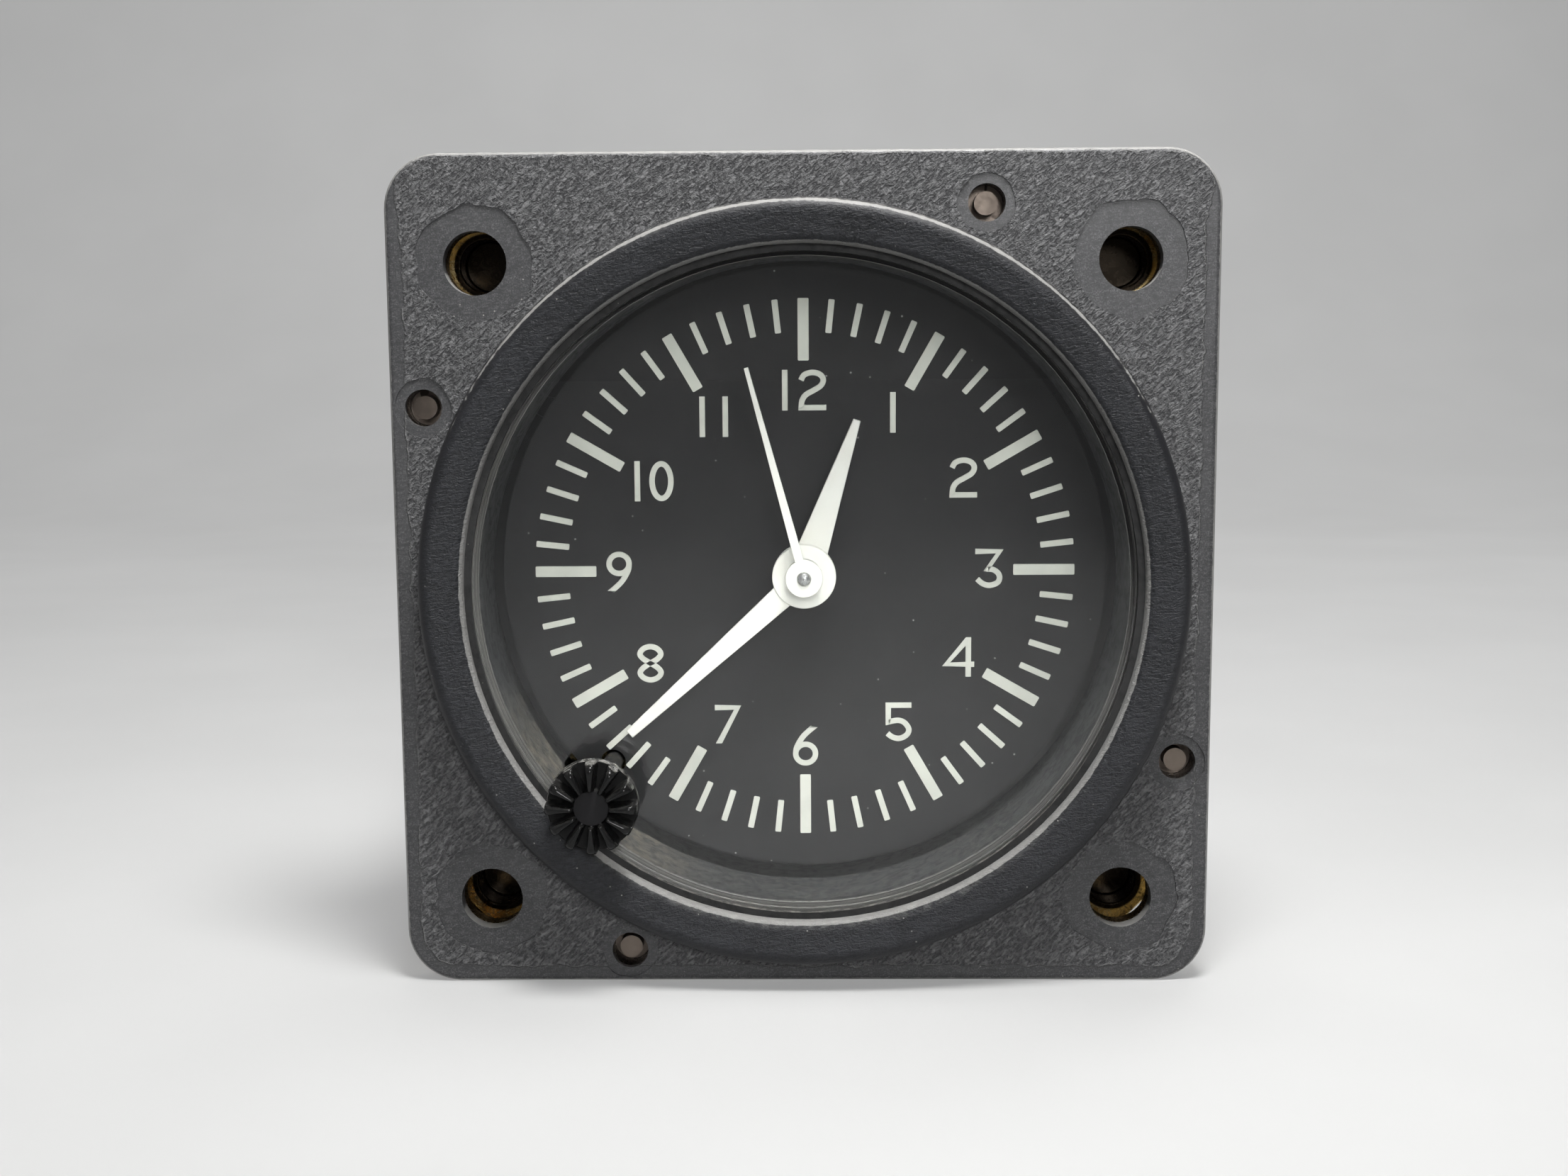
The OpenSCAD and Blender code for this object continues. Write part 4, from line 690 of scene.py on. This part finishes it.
def skin(node, work, bevel_mm, finish=None):
    made = new_piece(node + "_skin", work)
    made.data.set_sharp_from_angle(angle=SHARP)
    shade_smooth(made)
    if bevel_mm:
        bevel = made.modifiers.new("bevel", "BEVEL")
        bevel.width = bevel_mm * MM
        bevel.segments = 2
        bevel.limit_method = "ANGLE"
        bevel.angle_limit = SHARP
        bevel.use_clamp_overlap = True
    weighted = made.modifiers.new("weighted", "WEIGHTED_NORMAL")
    weighted.keep_sharp = True
    weighted.weight = 80
    return dress(keep_mesh(made), node, finish)


# %% Skins, with the bevel of each in millimetres
bevels = {
    "glass": 0.06, "glass_gasket": 0.0, "reflector_ring": 0.03, "screw_inserts": 0.05,
    "bezel_screws": 0.05, "panel_nuts": 0.12, "nut_clips": 0.06, "case": 0.1, "rear_cover": 0.15,
    "dial": 0.0, "glass_bush": 0.05, "shaft_seal": 0.05, "second_arbor": 0.0, "minute_tube": 0.03,
    "setting_shaft": 0.05, "connector_shell": 0.08, "connector_insert": 0.05, "connector_contacts": 0.04,
    "jack_posts": 0.12, "cover_screws": 0.06, "hour_hand": 0.05, "minute_hand": 0.05, "second_hand": 0.04,
}
# painted shade: the setting shaft gets a black finish where it shows behind the dial
other_finish = {"screw_inserts": "insert_brass", "setting_shaft": "blackened_steel"}
for name, width in bevels.items():
    made = skin(name, merged(name), width, other_finish.get(name))
    print(made.name, len(made.data.polygons), "faces")

# %% [markdown]
# ## The bezel, with ragged paint round its holes
# The spots round the holes were masked off before the paint dried, so their edges wander. The solid has
# clean round recesses. A bump could fake the ragged edge, but it would break off at the recess, so the
# points of the recess edges themselves are pushed in and out by a noise that depends on their place.
# The middle of each hole is the middle of the nut or insert that sits in it or behind it.

# %% Middles of the separate pieces of a node
def islands(work):
    waiting = set(work.verts)
    while waiting:
        group = []
        edge = [waiting.pop()]
        while edge:
            vert = edge.pop()
            group.append(vert)
            for link in vert.link_edges:
                other = link.other_vert(vert)
                if other in waiting:
                    waiting.remove(other)
                    edge.append(other)
        yield group


def middles(node):
    work = merged(node)
    found = []
    for group in islands(work):
        reach = [[f(vert.co[axis] for vert in group) / MM for f in (min, max)] for axis in (0, 2)]
        found.append((sum(reach[0]) / 2, sum(reach[1]) / 2))
    work.free()
    return found


# %% Ragged spot edges
SPOT_R = 4.2
SMALL_SPOT_R = 2.1
SPOT_DEPTH = 0.3


def ragged(work, centres, radius, amount):
    moved = 0
    for vert in work.verts:
        for x, z in centres:
            away = Vector((vert.co.x / MM - x, 0.0, vert.co.z / MM - z))
            if abs(away.length - radius) < 0.03 and vert.co.y < SPOT_DEPTH * MM:
                reach = wobble(Vector((x, 0.0, z)) + away * 0.55) + 0.45 * wobble(away * 2.3)
                vert.co += away.normalized() * reach * amount * MM
                moved += 1
    return moved


bezel_work = merged("bezel")
print("ragged points:", ragged(bezel_work, middles("panel_nuts"), SPOT_R, 0.42),
      ragged(bezel_work, middles("screw_inserts"), SMALL_SPOT_R, 0.16))
bezel = skin("bezel", bezel_work, 0.05)
print("bezel", len(bezel.data.polygons), "faces")

# %% [markdown]
# ## Marks round the dial
# Sixty strokes of paint stand round the dial, the hour strokes wider and longer. One stroke with round
# corners could be copied by a loop, but a Geometry Nodes tree does it with a count, a first angle and a
# skip as inputs, and can be changed later in one place.

# %% Start, end and run a tree of Geometry Nodes
def start_tree(name, inputs):
    tree = bpy.data.node_groups.new(name, "GeometryNodeTree")
    for label, kind in inputs.items():
        tree.interface.new_socket(label, in_out="INPUT", socket_type="NodeSocket" + kind)
    tree.interface.new_socket("Made", in_out="OUTPUT", socket_type="NodeSocketGeometry")
    return tree, add(tree, "NodeGroupInput").outputs


def end_tree(tree, shape, finish):
    real = fed_node("GeometryNodeRealizeInstances", [shape])[0]
    painted = add(tree, "GeometryNodeSetMaterial")
    feed(painted.inputs["Geometry"], real)
    feed(painted.inputs["Material"], finish)
    feed(add(tree, "NodeGroupOutput").inputs["Made"], painted.outputs[0])
    return tree


def run_tree(made, tree, values):
    modifier = made.modifiers.new("made", "NODES")
    modifier.node_group = tree
    for item in tree.interface.items_tree:
        if item.in_out == "INPUT" and item.name in values:
            modifier[item.identifier] = values[item.name]
    return keep_mesh(made)


# %% A tree that sets copies of a piece round the axis
def ring_tree():
    tree, given = start_tree("round_the_axis", {
        "Piece": "Geometry", "Count": "Int", "First angle": "Float", "Skip every": "Int",
        "Finish": "Material"})
    points = add(tree, "GeometryNodePoints")
    feed(points.inputs["Count"], given["Count"])
    index = add(tree, "GeometryNodeInputIndex").outputs[0]
    turn = plus(over(times(index, math.tau), given["Count"]), given["First angle"])
    left = calc("FLOORED_MODULO", index, given["Skip every"])
    skipped = times(calc("LESS_THAN", left, 0.5), calc("GREATER_THAN", given["Skip every"], 0.5))
    copies = add(tree, "GeometryNodeInstanceOnPoints")
    feed(copies.inputs["Points"], points.outputs[0])
    feed(copies.inputs["Selection"], calc("LESS_THAN", skipped, 0.5))
    feed(copies.inputs["Instance"], given["Piece"])
    feed(copies.inputs["Rotation"], fed_node("ShaderNodeCombineXYZ", (0.0, turn, 0.0))[0])
    return end_tree(tree, copies.outputs[0], given["Finish"])


# %% One stroke with round corners, copied round the dial
MARK_T = 0.06
TICK_R = 21.2
MAJOR = (0.86, 4.8)
MINOR = (0.48, 2.6)


def stroke(width, length, outer_r, corner=0.09, steps=4):
    work = bmesh.new()
    outline = []
    for a, b, start in ((1, 1, 0), (-1, 1, 90), (-1, -1, 180), (1, -1, 270)):
        centre = (a * (width / 2 - corner), outer_r - length / 2 + b * (length / 2 - corner))
        for k in range(steps + 1):
            angle = math.radians(start + 90 * k / steps)
            outline.append((centre[0] + corner * math.cos(angle), centre[1] + corner * math.sin(angle)))
    middle = outer_r - length / 2
    rows = []
    for shrink, depth in ((0.0, 0.0), (0.0, MARK_T * 0.7), (0.2, MARK_T)):
        edge = corner * shrink
        rows.append([work.verts.new(Vector((
            x - math.copysign(edge, x),
            DIAL_FRONT - depth,
            z - math.copysign(edge, z - middle))) * MM) for x, z in outline])
    join_rows(work, rows, closed=True)
    work.faces.new(rows[-1])
    work.faces.new(list(reversed(rows[0])))
    bmesh.ops.recalc_face_normals(work, faces=work.faces)
    return work


ring_copies = ring_tree()
for name, size, count, skip in (("hour_marks", MAJOR, 12, 0), ("minute_marks", MINOR, 60, 5)):
    marks = new_piece(name, stroke(*size, TICK_R))
    values = {"Count": count, "First angle": 0.0, "Skip every": skip, "Finish": finishes["mark_white"]}
    dress(run_tree(marks, ring_copies, values), "dial_marks")
    print(name, len(marks.data.polygons), "faces")

# %% [markdown]
# ## Numerals
# The numerals are drawn with a broad pen of one width and square ends. A font would bring its own forms,
# so each digit is a path for the pen: corners where the path turns sharply, soft curves where it is marked
# to run smoothly. The pen lays down a thin ribbon with a slightly narrower top, like wet paint.

# %% Curves, ovals and corners
def curve(points, closed=False, steps=6):
    last = len(points) if closed else len(points) - 1
    made = []
    for k in range(last):
        if closed:
            p = [Vector(points[(k + j) % len(points)]) for j in (-1, 0, 1, 2)]
        else:
            p = [Vector(points[min(max(k + j, 0), last)]) for j in (-1, 0, 1, 2)]
        for s in range(steps):
            t = s / steps
            made.append(0.5 * (2 * p[1] + (p[2] - p[0]) * t + (2 * p[0] - 5 * p[1] + 4 * p[2] - p[3]) * t ** 2
                               + (3 * p[1] - p[0] - 3 * p[2] + p[3]) * t ** 3))
    return made if closed else made + [Vector(points[-1])]


def oval(x, z, rx, rz, steps=40):
    turns = [math.tau * k / steps for k in range(steps)]
    return [Vector((x + rx * math.sin(a), z + rz * math.cos(a))) for a in turns]


def corners(*points):
    return [Vector(point) for point in points]


# %% Paths of the ten digits, in millimetres from the middle of the digit
SIX_TAIL = [(-0.79, -0.6), (-0.73, -0.15), (-0.5, 0.34), (-0.17, 0.83), (0.26, 1.25), (0.62, 1.55)]
TWO = [(-0.88, 0.76), (-0.62, 1.18), (0, 1.36), (0.6, 1.2), (0.85, 0.8), (0.66, 0.34), (0.1, -0.02),
       (-0.5, -0.36), (-0.8, -0.8), (-0.86, -1.355)]
THREE = [(-0.12, -0.06), (0.32, -0.1), (0.7, -0.36), (0.84, -0.74), (0.66, -1.14), (0.05, -1.345),
         (-0.5, -1.2), (-0.92, -0.84)]
FIVE = [(-0.8, -0.02), (-0.3, 0.09), (0.1, 0.1), (0.52, -0.1), (0.83, -0.58), (0.72, -1.0), (0.35, -1.27),
        (-0.05, -1.35), (-0.5, -1.22), (-0.86, -0.94)]
EIGHT = [(0, 1.33), (0.56, 1.15), (0.83, 0.74), (0.58, 0.36), (0, -0.01), (-0.58, -0.38), (-0.83, -0.78),
         (-0.56, -1.17), (0, -1.35), (0.56, -1.17), (0.83, -0.78), (0.58, -0.38), (0, -0.01), (-0.58, 0.36),
         (-0.83, 0.74), (-0.56, 1.15)]
six = [(oval(0, -0.59, 0.79, 0.76), "closed"), (curve(SIX_TAIL), "level")]
digits = {
    0: [(oval(0, 0, 0.74, 1.355), "closed")],
    1: [(corners((0, -1.575), (0, 1.575)), "square")],
    2: [(curve(TWO) + corners((1.08, -1.355)), "square")],
    3: [(corners((-1.08, 1.34), (0.84, 1.34)) + curve(THREE), "square")],
    4: [(corners((0.74, 1.42), (-0.98, -0.59), (1.24, -0.59)), "square"),
        (corners((0.77, 1.575), (0.77, -1.575)), "square")],
    5: [(corners((1.04, 1.34), (-0.8, 1.34)) + curve(FIVE), "square")],
    6: six,
    7: [(corners((-1.03, 1.34), (0.78, 1.34), (-0.73, -1.55)), "level")],
    8: [(curve(EIGHT, True), "closed")],
    9: [([-point for point in path], end) for path, end in six],
}
print("paths for digits", sorted(digits))

# %% The pen
PEN = 0.44
RIBBON = ((-0.5, 0.0), (-0.5, 0.6), (-0.43, 1.0), (0.43, 1.0), (0.5, 0.6), (0.5, 0.0))


def pen_rows(path, end):
    closed = end == "closed"
    sides = []
    for k, point in enumerate(path):
        before = path[k - 1] if k or closed else None
        after = path[(k + 1) % len(path)] if closed or k + 1 < len(path) else None
        into = (point - before).normalized() if before is not None else (after - point).normalized()
        out = (after - point).normalized() if after is not None else into
        across = (Vector((-into.y, into.x)) + Vector((-out.y, out.x))).normalized()
        reach = min(1.55, 1 / max(0.2, across.dot(Vector((-into.y, into.x)))))
        if after is None and end == "level":
            across = Vector((1.0 if across.x > 0 else -1.0, 0.0))
            reach = min(1.8, 1 / abs(into.y))
        sides.append((point, across * reach))
    return sides


def pen_ribbon(work, path, end, x, z, thick):
    rows = []
    for point, across in pen_rows(path, end):
        row = []
        for side, share in RIBBON:
            spot = point + across * PEN * side
            at = Vector((x + spot.x, DIAL_FRONT - thick * share, z + spot.y))
            row.append(work.verts.new(at * MM))
        rows.append(row)
    if end == "closed":
        rows.append(rows[0])
    join_rows(work, rows)
    if end != "closed":
        work.faces.new(rows[0])
        work.faces.new(list(reversed(rows[-1])))


# %% Set the numerals on the dial
PRINTED_AT = {
    1: (6.95, 12.35), 2: (12.45, 7.25), 3: (14.5, 0.1), 4: (12.15, -6.95), 5: (7.4, -12.15),
    6: (0.02, -14.12), 7: (-6.15, -12.3), 8: (-12.25, -7.35), 9: (-14.6, 0.0), 10: (-11.75, 7.1),
    11: (-7.0, 12.1), 12: (0.05, 14.12)}
SPELT = {10: ((-1.3, 1), (0.59, 0)), 11: ((-0.9, 1), (0.9, 1)), 12: ((-1.5, 1), (0.64, 2))}
SECOND_COAT = 0.006
numeral_work = bmesh.new()
for number, (x, z) in PRINTED_AT.items():
    for shift, digit in SPELT.get(number, ((0.0, number),)):
        for layer, (path, end) in enumerate(digits[digit]):
            pen_ribbon(numeral_work, path, end, x + shift, z, MARK_T + SECOND_COAT * layer)
bmesh.ops.recalc_face_normals(numeral_work, faces=numeral_work.faces)
numerals = dress(new_piece("numerals", numeral_work), "dial_marks")
print("numerals", len(numerals.data.polygons), "faces")

# %% [markdown]
# ## The setting knob
# The knob is a gloss black moulding with a smooth skirt and twelve ridges that run over its front like
# the spokes of a wheel. Cutting twelve grooves with booleans would leave hard edges, so the knob is a
# plain turned shape first. A Geometry Nodes tree then presses the grooves in: each point knows where the
# groove floor would be, and the distance to the nearest ridge decides how far it sinks.

# %% The section of the plain knob: radius, depth and how far a point may sink
KNOB_FRONT = KNOB_LOW[1]
KNOB_REAR = KNOB_HIGH[1]
KNOB_HOLE_R = 1.35
KNOB_HOLE_LEN = 0.8
RIDGES = 12
RIDGE_ROUND = 0.6
SKIRT = 0.75
GROOVE_FLOOR = 1.75
TURN_STEPS = 26 * RIDGES


def arc(centre_r, centre_y, radius, start, end, steps, sink):
    angles = [math.radians(start + (end - start) * k / steps) for k in range(steps + 1)]
    return [(centre_r + radius * math.cos(a), centre_y + radius * math.sin(a), sink) for a in angles]


def knob_profile():
    skirt_y = KNOB_REAR - SKIRT
    ridge_r = KNOB_R - 0.02
    points = [(0.8, KNOB_REAR, 0.0), (KNOB_R - 0.25, KNOB_REAR, 0.0)]
    points += arc(KNOB_R - 0.2, KNOB_REAR - 0.2, 0.2, 90, 0, 4, 0.0)
    points += [(KNOB_R, skirt_y + 0.15, 0.0)]
    points += arc(KNOB_R - 0.1, skirt_y + 0.12, 0.1, 0, -70, 3, 0.0)
    side = 5
    top = KNOB_FRONT + RIDGE_ROUND
    points += [(ridge_r, skirt_y + (top - skirt_y) * k / side, min(1.0, k * 0.6)) for k in range(side)]
    start = ridge_r - RIDGE_ROUND
    points += arc(start, top, RIDGE_ROUND, 0, -90, 7, 1.0)
    reach = 8
    inner = KNOB_HOLE_R + 0.14
    points += [(start + (inner - start) * k / reach, KNOB_FRONT, 1.0) for k in range(1, reach)]
    points += arc(inner, KNOB_FRONT + 0.14, 0.14, -90, -180, 4, 1.0)
    hole_y = KNOB_FRONT + KNOB_HOLE_LEN
    points += [(KNOB_HOLE_R, hole_y - 0.1, 1.0), (KNOB_HOLE_R - 0.1, hole_y, 0.0), (0.5, hole_y, 0.0)]
    return points


# %% The plain turned knob, with the sink stored on its points
def plain_knob():
    work = bmesh.new()
    sink = work.verts.layers.float.new("sink")
    rows = []
    for r, y, weight in knob_profile():
        row = []
        for k in range(TURN_STEPS):
            angle = math.tau * k / TURN_STEPS
            at = Vector((KNOB_AT[0] + r * math.sin(angle), y, KNOB_AT[1] + r * math.cos(angle)))
            row.append(work.verts.new(at * MM))
            row[-1][sink] = weight
        rows.append(row)
    join_rows(work, rows, closed=True)
    work.faces.new(rows[-1])
    work.faces.new(rows[0])
    bmesh.ops.recalc_face_normals(work, faces=work.faces)
    return work


# %% The tree that presses the grooves in and domes the ridges
def groove_tree():
    tree, given = start_tree("pressed_grooves", {
        "Turned": "Geometry", "Axis": "Vector", "Ridges": "Int", "Ridge": "Float", "Widening": "Float",
        "Dome": "Float", "Wall": "Float", "Floor": "Float", "Floor radius": "Float", "Finish": "Material"})
    local = vector("SUBTRACT", add(tree, "GeometryNodeInputPosition").outputs[0], given["Axis"])
    x, y, z = xyz(local)
    radius = off_axis(x, z)
    phase = times(over(calc("ARCTAN2", x, z), math.tau), given["Ridges"])
    off = calc("ABSOLUTE", minus(phase, calc("ROUND", phase)))
    along = times(over(times(off, math.tau), given["Ridges"]), radius)
    half = plus(given["Ridge"], times(radius, given["Widening"]))
    stored = add(tree, "GeometryNodeInputNamedAttribute", data_type="FLOAT")
    stored.inputs["Name"].default_value = "sink"
    sink = stored.outputs["Attribute"]
    press = times(soft_step(along, half, plus(half, given["Wall"])), sink)
    share = times(calc("MINIMUM", over(along, half), 1.0), 0.95)
    arch = calc("SQRT", minus(1.0, times(share, share)))
    drop = times(times(minus(1.0, arch), given["Dome"]), minus(sink, press))
    drawn = over(calc("MINIMUM", radius, given["Floor radius"]), radius)
    floor_at = (times(x, drawn), most(y, given["Floor"]), times(z, drawn))
    floor = fed_node("ShaderNodeCombineXYZ", floor_at)[0]
    sunk = vector("MULTIPLY", vector("SUBTRACT", floor, local), press)
    domed = fed_node("ShaderNodeCombineXYZ", (0.0, drop, 0.0))[0]
    pressed = add(tree, "GeometryNodeSetPosition")
    feed(pressed.inputs["Geometry"], given["Turned"])
    feed(pressed.inputs["Offset"], vector("ADD", sunk, domed))
    return end_tree(tree, pressed.outputs[0], given["Finish"])


# %% Press and dress the knob
knob_values = {
    "Axis": (KNOB_AT[0] * MM, 0.0, KNOB_AT[1] * MM), "Ridges": RIDGES, "Ridge": 0.0, "Widening": 0.1,
    "Dome": 0.22 * MM, "Wall": 0.14 * MM, "Floor": (KNOB_FRONT + GROOVE_FLOOR) * MM,
    "Floor radius": (KNOB_R - 0.1) * MM, "Finish": finishes["gloss_black_plastic"],
}
knob = run_tree(new_piece("knob_moulding", plain_knob()), groove_tree(), knob_values)
shade_smooth(knob)
knob.data.set_sharp_from_angle(angle=math.radians(38.0))
dress(knob, "setting_knob")
print("knob", len(knob.data.polygons), "faces, box", [round(v / MM, 2) for v in knob.dimensions])

# %% [markdown]
# ## Floor
# The clock stands on a plain pale floor that curves up behind it. A pale world alone could be the
# background, but it would take no shadow. The floor gives a little light of its
# own to the camera and to mirrored and refracted rays, so the background stays pale without more light
# on the clock. Diffuse rays see a darker floor, which keeps the shadow and the black paint deep.

# %% Floor
FLOOR_Z = cad_box[0][2]
FLOOR_FRONT = -2.5
FLOOR_HALF_W = 2.5
BACKDROP_Y = 0.6
BACKDROP_H = 0.7
BEND = 0.25
BEND_STEPS = 12


def studio_floor():
    work = bmesh.new()
    line = [(FLOOR_FRONT, 0.0), (BACKDROP_Y - BEND, 0.0)]
    for k in range(1, BEND_STEPS + 1):
        angle = math.radians(90 * k / BEND_STEPS)
        line.append((BACKDROP_Y - BEND + BEND * math.sin(angle), BEND - BEND * math.cos(angle)))
    line.append((BACKDROP_Y, BACKDROP_H))
    rows = [[work.verts.new((side * FLOOR_HALF_W, y, FLOOR_Z + z)) for side in (-1, 1)] for y, z in line]
    join_rows(work, rows)
    bmesh.ops.recalc_face_normals(work, faces=work.faces)
    made = new_piece("studio_floor", work)
    shade_smooth(made)
    return made


def seen_rays(tree):
    rays = add(tree, "ShaderNodeLightPath").outputs
    return most(most(rays["Is Camera Ray"], rays["Is Glossy Ray"]), rays["Is Transmission Ray"])


floor = studio_floor()
inputs, where = new_material("floor_paint", Roughness=0.8, Emission_Strength=1.0)
shade = soft_step(noise(where, 0.02, 3.0), 0.2, 0.8)
pale = mix_colour(shade, (0.4, 0.4, 0.395, 1), (0.44, 0.44, 0.435, 1))
seen = seen_rays(where.id_data)
feed(inputs["Base Color"], mix_colour(seen, grey(0.2), pale))
feed(inputs["Emission Color"], mix_colour(seen, grey(0.0), grey(0.22)))
floor.data.materials.append(finishes["floor_paint"])
print("floor at", round(FLOOR_Z / MM, 2), "mm")

# %% [markdown]
# ## Lamps and world
# One broad lamp would be simpler, but it leaves the dial deep behind the glass in shadow. So a small soft
# key lamp close above the flange gives the shadow under the ring, and a lamp in front lights
# the dial through the glass. A weak one fills from the left, one behind lights the case, and one above is
# for the backdrop. The world adds a low grey light, and looks as pale as the far floor where it is seen.

# %% Lamps: place, aim, size in metres, watts, spread in degrees
MIDDLE = (0.0, 0.0, 0.0)
lamps = {
    "key_lamp": ((0.02, -0.055, 0.165), MIDDLE, 0.06, 0.42, 180.0),
    "front_lamp": ((0.08, -0.47, 0.15), MIDDLE, 0.13, 0.113, 60.0),
    "fill_lamp": ((-0.45, -0.3, 0.2), MIDDLE, 0.5, 0.06, 90.0),
    "rear_lamp": ((0.3, 0.45, 0.4), (0.0, 0.02, 0.0), 0.4, 0.19, 90.0),
    "backdrop_lamp": ((0.0, 0.2, 0.6), (0.0, 0.6, 0.1), 0.4, 2.0, 180.0),
}
for name, (at, aim, size, watts, spread) in lamps.items():
    data = bpy.data.lights.new(name, "AREA")
    data.shape = "DISK"
    data.size = size
    data.energy = watts
    data.spread = math.radians(spread)
    lamp = bpy.data.objects.new(name, data)
    lamp.location = at
    lamp.rotation_euler = (Vector(aim) - Vector(at)).to_track_quat("-Z", "Y").to_euler()
    bpy.context.scene.collection.objects.link(lamp)
print(len(lamps), "lamps")

# %% World and view
world = bpy.data.worlds.new("studio")
world.use_nodes = True
sky = world.node_tree.nodes["Background"].inputs
feed(sky["Color"], mix_colour(seen_rays(world.node_tree), (0.066, 0.068, 0.07, 1), grey(0.26)))
sky["Strength"].default_value = 1.0
bpy.context.scene.world = world
bpy.context.scene.view_settings.view_transform = "Standard"
print("world", world.name)

# %% [markdown]
# ## Camera
# The camera stands where the photograph was taken. Its place, turn and lens were fitted to the square of
# the holes and to the dial, in a picture 2212 points wide, and not set by eye.

# %% Camera at the photograph's place
PHOTO_W = 2212
FOCAL_POINTS = 2600
CAMERA_AT = (0.0008, -0.1341, 0.0175)
CAMERA_TURN = (82.53, 0.385, 0.91)
camera_data = bpy.data.cameras.new("camera")
camera_data.sensor_width = 36.0
camera_data.lens = FOCAL_POINTS * camera_data.sensor_width / PHOTO_W
camera_data.clip_start = 0.005
camera = bpy.data.objects.new("camera", camera_data)
camera.location = CAMERA_AT
camera.rotation_euler = Euler([math.radians(turn) for turn in CAMERA_TURN])
bpy.context.scene.collection.objects.link(camera)
bpy.context.scene.camera = camera
print("lens", round(camera_data.lens, 2), "mm at", [round(v / MM, 1) for v in CAMERA_AT])
